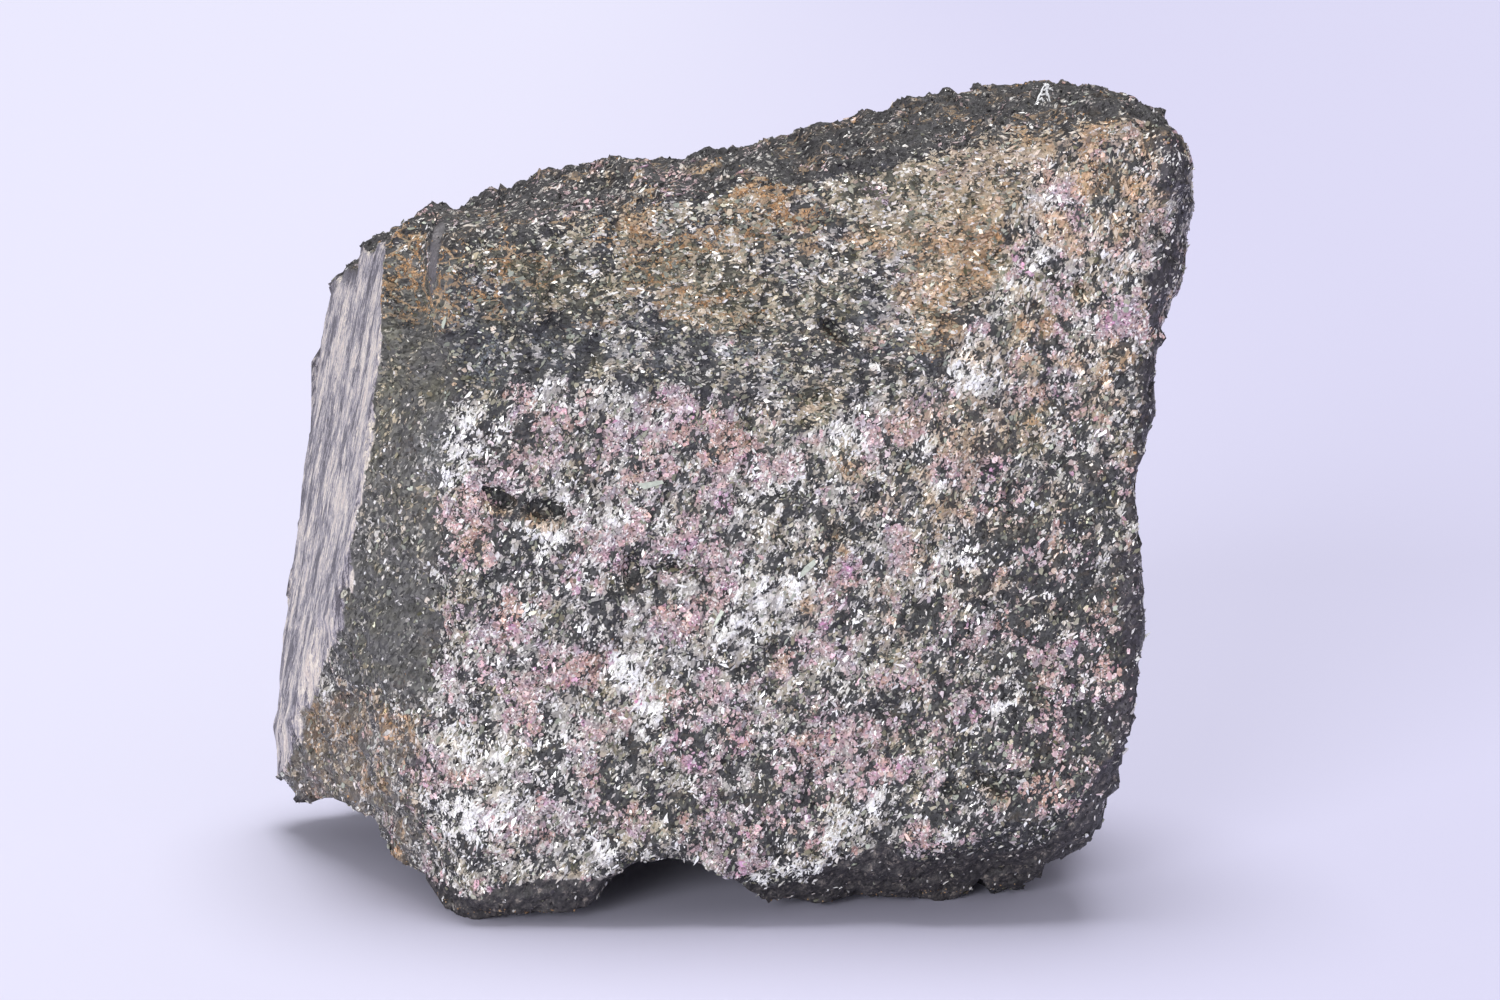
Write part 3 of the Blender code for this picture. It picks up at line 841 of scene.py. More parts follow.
class StoneColours(bpy.types.PropertyGroup):
    """Colours of the minerals."""

    chromite_black: tint("Chromite black", "Fresh chromite", (0.039, 0.039, 0.042))
    chromite_grey: tint("Chromite grey", "Fine-grained chromite with serpentine", (0.120, 0.117, 0.112))
    chromite_brown: tint("Chromite brown", "Chromite with a rusty film", (0.098, 0.073, 0.052))
    chromite_violet: tint("Chromite violet", "The smooth weathered skin", (0.040, 0.036, 0.043))
    stichtite_lilac: tint("Stichtite lilac", "Greyish lilac plates", (0.42, 0.350, 0.385))
    stichtite_pink: tint("Stichtite pink", "The commonest pink", (0.54, 0.385, 0.400))
    stichtite_magenta: tint("Stichtite magenta", "The strongest spots", (0.50, 0.27, 0.41))
    stichtite_salmon: tint("Stichtite salmon", "Plates stained by iron", (0.52, 0.345, 0.295))
    # Flake white is partly the flakes' own pale colour and partly painted glint; flake grey is the same flakes' painted
    # shaded copy.
    flake_white_and_glint: tint("Flake white", "Silvery flakes that face the light", (0.95, 0.93, 0.91))
    flake_grey_shaded: tint("Flake grey", "Silvery flakes in shade", (0.43, 0.405, 0.385))
    flake_cream: tint("Flake cream", "Silvery flakes with a little iron", (0.52, 0.44, 0.32))
    serpentine_olive: tint("Serpentine olive", "Dark yellow-green serpentine", (0.115, 0.108, 0.060))
    serpentine_green: tint("Serpentine green", "Pale grey-green leaves", (0.31, 0.335, 0.285))
    limonite_tan: tint("Limonite tan", "Light orange stain", (0.53, 0.38, 0.245))
    limonite_ochre: tint("Limonite ochre", "Orange crust", (0.47, 0.275, 0.14))
    limonite_brown: tint("Limonite brown", "Dark rusty crust", (0.17, 0.105, 0.06))
    cleavage_violet: tint("Cleavage violet", "The smooth left side", (0.34, 0.315, 0.36))
    cleavage_cream: tint("Cleavage cream", "Pale streaks on the smooth side", (0.68, 0.60, 0.52))
    lint_white: tint("Lint white", "Stray fibres", (0.93, 0.94, 0.96))


class StudioSettings(bpy.types.PropertyGroup):
    """Floor, lights and camera."""

    floor_colour: tint("Floor colour", "The pale paper under the stone", (0.715, 0.708, 0.872))
    air_colour: tint("Air colour", "Light from all round", (1.0, 0.985, 0.975))
    backdrop_colour: tint("Backdrop colour", "What shows behind the floor", (0.80, 0.785, 0.985))
    air_strength: number("Air strength", "Strength of the light from all round", 0.37, 0.0, 5.0)
    over_strength: number("Overhead light", "Strength of the soft light above", 2.15, 0.0, 20.0)
    front_strength: number("Front light", "Strength of the soft light beside the camera", 1.95, 0.0, 20.0)
    lens: number("Lens", "Focal length of the camera in millimetres", 100.0, 10.0, 500.0)
    camera_height: bpy.props.FloatProperty(
        name="Camera height", description="How far the camera looks down", default=math.radians(10),
        subtype="ANGLE", unit="ROTATION"
    )
    camera_distance: length("Camera distance", "From the camera to what it looks at", 0.433, 0.05, 5.0)


def mineral_stone(colours):
    """The finish of the stone itself: fine angular grains, dark and light in the mesh's shares, in the colours that the
    mesh carries for both, with painted white glints among the light grains."""
    finish = Finish("mineral_stone")
    here = finish.places()
    wander = finish.vector("SUBTRACT", finish.noise(here, 0.7, 1.0, output="Color"), (0.5, 0.5, 0.5))
    bent = finish.vector("ADD", here, finish.vector("SCALE", wander, scale=0.40))
    level_share = finish.share("upper").rise(0.35, 0.65)
    slanted = finish.grains(bent, 0.27, stretch=(1.0, 1.0, 2.1), turn=(0, 30, 0))
    level = finish.grains(bent, 0.27, stretch=(2.2, 1.0, 1.0), turn=(0, -6, 0))
    luck = finish.blend(level_share, slanted["Color"], level["Color"])
    first, second, third = finish.parts(luck)
    coarse = finish.grains(bent, 1.1, stretch=(1.0, 1.0, 1.4), turn=(0, 24, 0))
    fourth, fifth, sixth = finish.parts(coarse["Color"])
    fine = finish.noise(bent, 0.26, 2.0).rise(0.30, 0.70)

    light = finish.share("light") + (fourth - 0.5) * 0.22
    lit = (light + first * 0.86 + fine * 0.34 - 1.10).rise(-0.07, 0.07)
    stained = finish.share("stained")
    lit = lit * (1 - stained * 0.60) + stained * 0.22
    lights = finish.tint("light_colour")
    lights = finish.vector("SCALE", lights, scale=0.52 + third * 0.50 + fifth * 0.18)
    # Painted glints: some light grains turn white, more of them in the silver patches.
    painted_glints = (second + finish.share("silver") * 0.40).rise(0.78, 0.88)
    lights = finish.blend(painted_glints * 0.9, lights, colours.flake_white_and_glint)
    darks = finish.vector("SCALE", finish.tint("dark_colour"), scale=0.36 + second * 0.8 + third * second * 1.5)
    colour = finish.blend(lit, darks, lights)
    dust = finish.share("dusty") * fine.rise(0.3, 0.9)
    colour = finish.blend(dust * 0.6, colour, (0.36, 0.40, 0.44))
    vein = (finish.share("veins") + (fine - 0.5) * 0.6).rise(0.35, 0.75)
    flowing = finish.node(
        "ShaderNodeMapping", {"vector_type": "TEXTURE"},
        {"Vector": bent, "Rotation": (0, math.radians(-5), 0), "Scale": (3.2, 1.0, 1.0)},
    )[0]
    off_thread = finish.noise(flowing, 2.6, 3.0, 0.6) - 0.5
    thread = (off_thread * off_thread).rise(0.0010, 0.0003) * finish.share("threaded").rise(0.06, 0.40)
    squat = finish.node(
        "ShaderNodeMapping", {"vector_type": "TEXTURE"}, {"Vector": bent, "Scale": (1.8, 1.0, 1.0)}
    )[0]
    cells = finish.node("ShaderNodeTexVoronoi", {"feature": "DISTANCE_TO_EDGE"}, {"Vector": squat, "Scale": 1 / 2.6})
    net = cells["Distance"].rise(0.050, 0.02) * finish.share("netted").rise(0.15, 0.50)
    vein = (vein * 0.4).most(thread.most(net) * fine.rise(0.0, 0.4))
    colour = finish.blend(vein * 0.9, colour, finish.blend(second * 0.5, colours.limonite_tan, colours.limonite_brown))

    plane = finish.share("plane").rise(0.35, 0.65)
    swept = finish.node(
        "ShaderNodeMapping", {"vector_type": "TEXTURE"},
        {"Vector": bent, "Rotation": (math.radians(22), 0, 0), "Scale": (1.0, 1.0, 15.0)},
    )[0]
    streak = finish.noise(swept, 0.36, 3.0, 0.85)
    drawn = finish.node(
        "ShaderNodeMapping", {"vector_type": "TEXTURE"},
        {"Vector": bent, "Rotation": (math.radians(22), 0, 0), "Scale": (1.0, 1.0, 4.5)},
    )[0]
    cross = finish.noise(drawn, 2.6, 6.0, 0.72)
    split = finish.node("ShaderNodeSeparateXYZ", {}, {0: here})
    by_edge = 1 - (split[1] + (streak - 0.5) * 10).rise(-21.5, -15.0)
    facet = (split[2] + fine * 1.6).rise(64.0, 64.8) * (split[1] + fine * 2).rise(-1.5, 0.5)
    smooth = finish.ramp(
        (streak - 0.5) * 1.5 + (cross - 0.5) * 1.9 + by_edge * 0.20 - facet * 0.25 + 0.51,
        (0.32, (0.070, 0.062, 0.075)), (0.41, (0.19, 0.175, 0.205)), (0.49, colours.cleavage_violet),
        (0.57, (0.52, 0.475, 0.475)), (0.66, colours.cleavage_cream), (0.80, (0.86, 0.79, 0.70)),
    )
    smooth = finish.blend(cross.rise(0.56, 0.68) * 0.5, smooth, (0.40, 0.27, 0.28))
    smooth = finish.vector("SCALE", smooth, scale=0.86 + fine * 0.26)
    colour = finish.blend(plane, colour, smooth)

    slick_share = finish.share("bevel").most(finish.share("riser")).rise(0.3, 0.7)
    slick = finish.ramp(
        finish.noise(here, 1.1, 5.0, 0.85) + (first - 0.5) * 0.30,
        (0.26, (0.012, 0.011, 0.013)), (0.46, (0.040, 0.037, 0.041)), (0.64, (0.090, 0.082, 0.082)),
        (0.78, (0.36, 0.31, 0.27)),
    )
    slick = finish.blend(finish.share("riser") * (streak * 1.4 - 0.2).held(), slick, (0.22, 0.205, 0.225))
    colour = finish.blend(slick_share, colour, slick)

    rough = 0.52 - lit * 0.20 + (third - 0.5) * 0.22 + vein * 0.3
    rough = rough * (1 - plane) + plane * 0.42
    facets = finish.vector("SUBTRACT", luck, (0.5, 0.5, 0.5))
    surface = finish.node("ShaderNodeNewGeometry")["Normal"]
    keep = (1 - plane) * (1 - slick_share * 0.7) * 0.8
    tilted = finish.vector("NORMALIZE", finish.vector("ADD", surface, finish.vector("SCALE", facets, scale=keep)))
    normal = finish.bump(fine + streak * plane * 2, 0.05, 0.7, tilted)
    finish.set(Base_Color=colour, Roughness=rough.held(), Normal=normal)
    finish.set(Specular_IOR_Level=0.5)
    return finish.material


def mineral_finish(name, rough, size, specks=0.0, glint_speck_colour=(0.8, 0.8, 0.8), shine=0.5, metal=0.0):
    """A finish for small pieces: each one's own colour, cloudy and speckled, with a rough face. The dark specks are the
    pieces' own; the pale specks are painted glints.
    """
    finish = Finish(name)
    here = finish.places()
    own = finish.tint("grain_colour")
    cloudy = finish.noise(here, size, 2.0)
    colour = finish.vector("SCALE", own, scale=0.60 + cloudy * 0.85)
    if specks:
        luck, other, _ = finish.parts(finish.grains(here, 0.17)["Color"])
        colour = finish.vector("SCALE", colour, scale=1 - (1 - luck.rise(0.10, 0.22)) * specks)
        # Painted glints: pale specks in the speck colour.
        colour = finish.blend(other.rise(0.84, 0.95) * specks, colour, glint_speck_colour)
    roughness = rough + (cloudy - 0.5) * 0.3
    finish.set(Base_Color=colour, Roughness=roughness.held(), Normal=finish.bump(cloudy, 0.04, 0.5))
    finish.set(Specular_IOR_Level=shine, Metallic=metal)
    return finish.material


def stone_triangles():
    """The finished stone's triangles: corner points, directions and mineral shares."""
    stone = bpy.data.objects.get(STONE)
    if stone is None:
        raise RuntimeError("make the stone before the grains that sit in it")
    mesh = stone.data
    points, normals = vertex_arrays(mesh)
    corners = np.empty(len(mesh.loops), np.int32)
    mesh.loops.foreach_get("vertex_index", corners)
    triangles = corners.reshape(-1, 3)
    shares = {}
    for attribute in mesh.attributes:
        if attribute.data_type == "FLOAT" and attribute.domain == "POINT":
            values = np.empty(len(mesh.vertices), np.float32)
            attribute.data.foreach_get("value", values)
            shares[attribute.name] = values
    return points, normals, triangles, shares


def scatter(count, wanted, rng):
    """Places on the stone, more where wanted is high. Wanted gets the shares at the triangles' middles and
    those middles. Returns points, directions and the shares there."""
    points, normals, triangles, shares = stone_triangles()
    corner = points[triangles]
    area = np.linalg.norm(np.cross(corner[:, 1] - corner[:, 0], corner[:, 2] - corner[:, 0]), axis=1) / 2
    middle_shares = {kind: values[triangles].mean(1) for kind, values in shares.items()}
    weight = area * np.clip(wanted(middle_shares, corner.mean(1)), 0, None) * (corner[:, :, 2].min(1) > 0.6)
    rising = np.cumsum(weight)
    chosen = np.searchsorted(rising, rng.random(count) * rising[-1])
    chosen = np.clip(chosen, 0, len(triangles) - 1)
    pair = np.sort(rng.random((count, 2)), axis=1)
    mix = np.stack([pair[:, 0], pair[:, 1] - pair[:, 0], 1 - pair[:, 1]], 1)
    spots = (corner[chosen] * mix[:, :, None]).sum(1)
    directions = (normals[triangles[chosen]] * mix[:, :, None]).sum(1)
    directions /= np.maximum(np.linalg.norm(directions, axis=1, keepdims=True), 1e-9)
    return spots, directions, {kind: values[chosen] for kind, values in middle_shares.items()}


def unit(vectors):
    """The vectors at length 1."""
    return vectors / np.maximum(np.linalg.norm(vectors, axis=1, keepdims=True), 1e-9)


def joined_mesh(name, points, loops, sizes, uv, colours, material):
    """One object from many small closed pieces."""
    mesh = bpy.data.meshes.new(name)
    mesh.vertices.add(len(points))
    points = np.maximum(points, np.array((-np.inf, -np.inf, 0.0)))
    mesh.vertices.foreach_set("co", (points * MM).astype(np.float32).ravel())
    mesh.loops.add(len(loops))
    mesh.loops.foreach_set("vertex_index", loops.astype(np.int32))
    starts = np.concatenate([[0], np.cumsum(sizes)[:-1]]).astype(np.int32)
    mesh.polygons.add(len(sizes))
    mesh.polygons.foreach_set("loop_start", starts)
    mesh.update(calc_edges=True)
    mesh.shade_flat()
    layer = mesh.uv_layers.new(name=BAKE_MAP)
    layer.data.foreach_set("uv", uv.astype(np.float32).ravel())
    colour_attribute(mesh, "grain_colour", np.clip(colours, 0.002, 0.95))
    piece = bpy.data.objects.new(name, mesh)
    bpy.context.scene.collection.objects.link(piece)
    finish_piece(piece, material)
    return piece


def set_flakes(name, spots, directions, half, tilt, lift, depth, corners, stretch, lean, colours, material, rng):
    """Many flat-topped flakes with a keel that goes down into the stone, each closed."""
    count = len(spots)
    up = unit(directions + tilt[:, None] * rng.normal(size=(count, 3)))
    along = unit(lean + 0.35 * rng.normal(size=(count, 3)))
    side = unit(np.cross(along, up))
    ahead = np.cross(up, side)
    step = 2 * math.pi / corners
    angle = (np.arange(corners)[None, :] + rng.uniform(-0.3, 0.3, (count, corners))) * step
    angle = angle + rng.uniform(0, step, (count, 1))
    reach = half[:, None] * rng.uniform(0.62, 1.2, (count, corners))
    across = (np.cos(angle) * reach / stretch[:, None])[:, :, None] * side[:, None, :]
    forth = (np.sin(angle) * reach * stretch[:, None])[:, :, None] * ahead[:, None, :]
    base = spots + directions * lift[:, None]
    rim = base[:, None, :] + across + forth
    tip = (spots - directions * depth[:, None])[:, None, :]
    points = np.concatenate([rim, tip], 1)
    first = (np.arange(count) * (corners + 1))[:, None]
    top = np.arange(corners)[None, :]
    ring = np.arange(corners)
    keel = np.stack([(ring + 1) % corners, ring, np.full(corners, corners)], 1).ravel()
    order = np.concatenate([top, keel[None, :]], 1)
    loops = (first + order).ravel()
    sizes = np.tile(np.concatenate([[corners], np.full(corners, 3)]), count)

    grid = math.ceil(math.sqrt(count))
    cell = np.arange(count)
    flat = np.stack([np.cos(angle), np.sin(angle)], 2) * 0.40
    flat = np.concatenate([flat, np.zeros((count, 1, 2))], 1)
    place = np.stack([cell % grid + 0.5, cell // grid + 0.5], 1)[:, None, :]
    uv = ((flat + place) / grid)[np.arange(count)[:, None], np.broadcast_to(order, (count, order.shape[1]))]
    own = np.repeat(colours, corners + 1, axis=0)
    return joined_mesh(name, points.reshape(-1, 3), loops, sizes, uv.reshape(-1, 2), own, material)


def set_crystals(name, spots, directions, half, sink, colours, material, rng):
    """Many small eight-faced grains, half sunk into the stone, each closed."""
    count = len(spots)
    up = unit(directions + 0.5 * rng.normal(size=(count, 3)))
    side = unit(np.cross(up, rng.normal(size=(count, 3))))
    ahead = np.cross(up, side)
    axes = np.stack([side, ahead, up], 1)
    arms = np.concatenate([axes, -axes], 1) * half[:, None, None] * rng.uniform(0.65, 1.25, (count, 6, 1))
    arms = arms + half[:, None, None] * 0.16 * rng.normal(size=(count, 6, 3))
    points = (spots - directions * sink[:, None])[:, None, :] + arms
    faces = np.array(((0, 1, 2), (1, 3, 2), (3, 4, 2), (4, 0, 2), (1, 0, 5), (3, 1, 5), (4, 3, 5), (0, 4, 5)))
    order = faces.ravel()
    loops = ((np.arange(count) * 6)[:, None] + order[None, :]).ravel()
    sizes = np.full(count * 8, 3)
    grid = math.ceil(math.sqrt(count))
    cell = np.arange(count)
    spread = np.array(((0.4, 0.0), (0.0, 0.4), (0.05, 0.03), (-0.4, 0.0), (0.0, -0.4), (-0.03, -0.05)))
    place = np.stack([cell % grid + 0.5, cell // grid + 0.5], 1)[:, None, :]
    uv = (spread[order][None, :, :] + place) / grid
    own = np.repeat(colours, 6, axis=0)
    return joined_mesh(name, points.reshape(-1, 3), loops, sizes, uv.reshape(-1, 2), own, material)


def lean_of(shares, rng):
    """The direction in which flakes are long: steep and slanted below, level above."""
    count = len(shares["upper"])
    steep = np.array((0.45, 0.0, 0.9))
    level = np.array((1.0, 0.0, 0.08))
    share = ease(0.3, 0.7, shares["upper"])[:, None]
    return steep * (1 - share) + level * share + 0.3 * rng.normal(size=(count, 3))


def nearness(shares):
    """More pieces for each square millimetre on the show face than on the other sides."""
    return 0.30 + 0.70 * shares["show"]


class SPECIMEN_OT_stone(bpy.types.Operator):
    """Breaks up the CAD solid's surface and gives the stone its minerals"""

    bl_idname = "specimen.stone"
    bl_label = "Stone"

    def execute(self, context):
        sizes = context.scene.stone_sizes
        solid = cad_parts[CAD_NODE].data.copy()
        welded = bmesh.new()
        welded.from_mesh(solid)
        bmesh.ops.remove_doubles(welded, verts=welded.verts, dist=0.002 * MM)
        welded.to_mesh(solid)
        welded.free()
        rock = bpy.data.objects.new(STONE, solid)
        context.scene.collection.objects.link(rock)
        remesh = rock.modifiers.new("even mesh", "REMESH")
        remesh.mode = "VOXEL"
        remesh.voxel_size = sizes.mesh_step
        mesh = applied(rock)

        points, normals = vertex_arrays(mesh)
        facing = broad_directions(mesh, normals, 10)
        zones = mineral_zones(points, broad_directions(mesh, normals, 3))
        out = relief(points, zones) * sizes.roughness
        out = out - 1.7 * patches(points[:, 0], points[:, 2], PITS) * zones["show"]
        points = points + facing * out[:, None]
        waist = ease(49.5, 52, points[:, 2]) * ease(68, 64, points[:, 2])
        points[:, 0] = points[:, 0] - 0.85 * waist * ease(34, 42, points[:, 0])
        near_top = ease(-2.5, 0.5, points[:, 2] - edge_height(points[:, 0], TOP_BAND_EDGE))
        dip = edge_height(points[:, 0] + 0.12 * (points[:, 1] + 18), TOP_DIPS)
        points[:, 2] = points[:, 2] - dip * near_top * ease(8, -6, points[:, 1])
        under = edge_height(points[:, 0], FOOT_EDGE) * ease(-10, -17, points[:, 1])
        points[:, 2] = np.where(points[:, 2] < under, under + 0.15 * points[:, 2], points[:, 2])
        notched = (points[:, 0] < NOTCH_RIGHT) & (points[:, 2] > NOTCH_FLOOR)
        points[notched, 2] = NOTCH_FLOOR + 0.12 * (points[notched, 2] - NOTCH_FLOOR)
        points[:, 2] = np.maximum(points[:, 2], 0)
        mesh.vertices.foreach_set("co", (points * MM).astype(np.float32).ravel())
        mesh.update()

        hidden = rock.vertex_groups.new(name="coarser")
        share = 1 - np.clip(zones["show"] + 0.8 * zones["top"] + 0.5 * zones["plane"], 0, 1)
        for tenth in range(11):
            members = np.nonzero(np.round(share * 10) == tenth)[0]
            hidden.add(members.tolist(), tenth / 10, "REPLACE")
        fewer = rock.modifiers.new("fewer faces", "DECIMATE")
        fewer.ratio = sizes.most_faces / (2 * len(mesh.polygons))
        fewer.vertex_group = "coarser"
        fewer.vertex_group_factor = 3.0
        fewer.use_collapse_triangulate = True
        mesh = applied(rock)
        rock.vertex_groups.clear()

        points, normals = vertex_arrays(mesh)
        facing = broad_directions(mesh, normals, 12)
        zones = mineral_zones(points, facing)
        for kind, share in zones.items():
            share_attribute(mesh, kind, share)
        colours = context.scene.stone_colours
        colour_attribute(mesh, "light_colour", light_colours(zones, colours))
        colour_attribute(mesh, "dark_colour", dark_colours(zones, colours))
        stone_map(mesh, points, facing)
        mesh.shade_smooth()
        finish_piece(rock, mineral_stone(colours), replaces_cad=True)
        return {"FINISHED"}


class SPECIMEN_OT_plates(bpy.types.Operator):
    """Sets the pink and lilac stichtite plates into the stone"""

    bl_idname = "specimen.plates"
    bl_label = "Stichtite plates"

    def execute(self, context):
        sizes, colours = context.scene.stone_sizes, context.scene.stone_colours
        rng = np.random.default_rng(101)

        def wanted(shares, middles):
            cluster = cloud(middles, 1.3, 61, 2)
            pinkness = shares["light"] * ease(0.30, 0.70, shares["pink"] + 0.35 * cluster)
            return (pinkness**1.3 + 0.003) * nearness(shares) * (1 - shares["skin"]) * (1 - shares["plane"])

        spots, directions, shares = scatter(sizes.plate_count, wanted, rng)
        count = len(spots)
        half = sizes.plate_size / MM * np.clip(rng.lognormal(0.0, 0.36, count), 0.4, 2.1)
        shares["pink"] = np.clip(shares["pink"] + 0.25, 0, 1)
        for kind in ("salmon", "magenta"):
            shares[kind] = shares[kind] + 0.12 * rng.normal(size=count)
        own = light_colours(shares, colours) * rng.lognormal(-0.06, 0.24, (count, 1)) * rng.normal(1, 0.04, (count, 3))
        set_flakes(
            "stichtite_plates", spots, directions, half, np.full(count, 0.20), half * 0.14, half * 0.9, 6,
            rng.uniform(1.0, 1.35, count), lean_of(shares, rng), own,
            mineral_finish("stichtite", 0.42, 0.4, 0.75, colours.flake_white_and_glint), rng,
        )
        return {"FINISHED"}


class SPECIMEN_OT_flakes(bpy.types.Operator):
    """Sets the silvery white and cream flakes into the stone"""

    bl_idname = "specimen.flakes"
    bl_label = "Silvery flakes"

    def execute(self, context):
        sizes, colours = context.scene.stone_sizes, context.scene.stone_colours
        rng = np.random.default_rng(202)

        def wanted(shares, middles):
            cluster = cloud(middles, 0.9, 63, 2)
            bright = (0.05 + shares["light"] ** 1.3) * (0.45 + 0.55 * ease(0.7, 0.3, shares["pink"]))
            bright = bright * (0.30 + 0.70 * ease(-0.3, 0.5, cluster)) + 1.1 * shares["silver"] ** 2
            bright = (bright + 0.010) * nearness(shares) * (1 - 0.88 * shares["skin"] + 0.10 * shares["bevel"] + 0.30 * shares["rim"]) * (1 - shares["plane"])
            return bright * (1 - 0.75 * shares["calm"]) * (1 - 0.6 * shares["top"])

        spots, directions, shares = scatter(sizes.flake_count, wanted, rng)
        count = len(spots)
        half = sizes.flake_size / MM * np.clip(rng.lognormal(0.0, 0.40, count), 0.4, 2.6)
        half = half * (1 + 0.30 * shares["silver"])
        # How far each flake goes over to flake white, and how bright it is: partly the flake's own pale colour, partly
        # painted glint.
        whiteness_and_glint = np.clip(rng.normal(0.50, 0.35, count) + 0.4 * shares["silver"], 0, 1)
        own = over(light_colours(shares, colours), colours.flake_white_and_glint, whiteness_and_glint * (1 - 0.2 * shares["upper"]) * (1 - 0.8 * ease(0.2, 0.7, shares["rust"])))
        own = own * np.clip(rng.normal(1.06, 0.26, (count, 1)) + 0.12 * shares["silver"][:, None], 0.3, 1.4)
        set_flakes(
            "silvery_flakes", spots, directions, half, np.full(count, 0.32), half * 0.35, half * 1.1, 4,
            rng.uniform(1.10, 1.9, count) + 0.4 * shares["silver"], lean_of(shares, rng), own,
            mineral_finish("silvery_flake", 0.30, 0.3, shine=0.9, metal=0.15), rng,
        )
        return {"FINISHED"}


class SPECIMEN_OT_grains(bpy.types.Operator):
    """Sets the black chromite grains into the stone"""

    bl_idname = "specimen.grains"
    bl_label = "Chromite grains"

    def execute(self, context):
        sizes, colours = context.scene.stone_sizes, context.scene.stone_colours
        rng = np.random.default_rng(303)

        def wanted(shares, middles):
            cluster = cloud(middles, 1.5, 64, 2)
            dark = (1 - shares["light"]) * (0.35 + 0.65 * ease(-0.4, 0.4, cluster))
            dark = dark * (0.55 + 0.45 * nearness(shares)) * (1 - 0.97 * shares["riser"])
            dark = dark * (1 - 0.3 * shares["bevel"]) * (1 - 0.1 * shares["rim"]) * (1 - shares["plane"])
            return dark * (1 - 0.5 * shares["stained"])

        spots, directions, shares = scatter(sizes.grain_count, wanted, rng)
        count = len(spots)
        half = sizes.grain_size / MM * np.clip(rng.lognormal(0.0, 0.38, count), 0.4, 2.4)
        own = dark_colours(shares, colours) * rng.lognormal(-0.15, 0.55, (count, 1))
        set_crystals(
            "chromite_grains", spots, directions, half, half * 0.5, own, mineral_finish("chromite", 0.38, 0.3), rng
        )
        return {"FINISHED"}


class SPECIMEN_OT_crust(bpy.types.Operator):
    """Lays the rusty limonite crumbs in the stone's veins and stains"""

    bl_idname = "specimen.crust"
    bl_label = "Limonite crust"

    def execute(self, context):
        sizes, colours = context.scene.stone_sizes, context.scene.stone_colours
        rng = np.random.default_rng(404)

        def wanted(shares, middles):
            crumbs = shares["threaded"] + shares["netted"] + 0.15 * ease(0.35, 0.9, shares["rust"])
            crumbs = crumbs + 0.25 * shares["bevel"] * ease(2.4, 1.0, middles[:, 2])
            return (crumbs + 0.001) * nearness(shares) * (1 - shares["plane"])

        spots, directions, shares = scatter(sizes.crust_count * 14, wanted, rng)
        _, net, core = vein_lines(spots)
        on_line = np.maximum(core * ease(0.05, 0.50, shares["threaded"]), 0.5 * net * shares["netted"])
        stray = 0.03 * ease(0.35, 0.9, shares["rust"]) + 0.10 * shares["bevel"] * ease(2.4, 1.0, spots[:, 2])
        kept = np.nonzero(rng.random(len(spots)) < on_line + stray)[0][:sizes.crust_count]
        spots, directions = spots[kept], directions[kept]
        count = len(spots)
        half = sizes.crust_size / MM * np.clip(rng.lognormal(0.0, 0.35, count), 0.4, 2.2)
        own = np.tile(np.array(colours.limonite_ochre), (count, 1))
        tone = rng.normal(0.1, 0.5, count) + 0.4 * cloud(spots, 2.5, 65, 2)
        own = over(own, colours.limonite_tan, tone)
        own = over(own, colours.limonite_brown, -tone) * rng.lognormal(0.0, 0.2, (count, 1))
        set_crystals(
            "limonite_crust", spots, directions, half, half * 0.30, own,
            mineral_finish("limonite", 0.85, 0.3, shine=0.25), rng,
        )
        return {"FINISHED"}


class SPECIMEN_OT_leaves(bpy.types.Operator):
    """Sets the grey-green and olive serpentine leaves into the stone"""

    bl_idname = "specimen.leaves"
    bl_label = "Serpentine leaves"

    def execute(self, context):
        sizes, colours = context.scene.stone_sizes, context.scene.stone_colours
        rng = np.random.default_rng(505)

        def wanted(shares, middles):
            cluster = cloud(middles, 2.0, 66, 2)
            green = shares["olive"] * (0.4 + 0.6 * ease(-0.3, 0.5, cluster)) + 0.5 * shares["dusty"] + 0.05
            green = green * nearness(shares) * (1 - 0.9 * shares["skin"]) * (1 - shares["plane"])
            return green * (1 - 0.7 * shares["calm"]) * (1 - 0.6 * shares["top"])

        spots, directions, shares = scatter(sizes.leaf_count, wanted, rng)
        count = len(spots)
        half = sizes.leaf_size / MM * np.clip(rng.lognormal(-0.05, 0.38, count), 0.4, 2.0)
        own = np.tile(np.array(colours.serpentine_green), (count, 1))
        own = over(own, colours.serpentine_olive, rng.normal(0.25, 0.4, count) + 0.4 * shares["olive"])
        own = over(own, colours.flake_cream, rng.normal(0.15, 0.35, count) * (0.4 + shares["olive"]))
        own = own * rng.lognormal(-0.15, 0.35, (count, 1))
        stretch = rng.uniform(1.0, 1.7, count)
        tilt = np.full(count, 0.24)
        lean = lean_of(shares, rng)
        points, _, _, stone_shares = stone_triangles()
        for index, leaf in enumerate(LONG_LEAVES):
            gap = np.hypot(points[:, 0] - leaf.x, points[:, 2] - leaf.z) + 99 * (stone_shares["show"] < 0.5)
            spots[index] = points[np.argmin(gap)]
            directions[index] = (0.0, -1.0, 0.1)
            half[index] = math.sqrt(leaf.wide * leaf.high)
            stretch[index] = math.sqrt(leaf.wide / leaf.high)
            tilt[index] = 0.08
            turn = math.radians(leaf.turn)
            lean[index] = (8 * math.cos(turn), 0.0, 8 * math.sin(turn))
            own[index] = np.array(colours.serpentine_green) * leaf.much
        set_flakes(
            "serpentine_leaves", spots, directions, half, tilt, half * 0.2, half * 0.9, 5, stretch, lean, own,
            mineral_finish("serpentine", 0.42, 0.3), rng,
        )
        return {"FINISHED"}


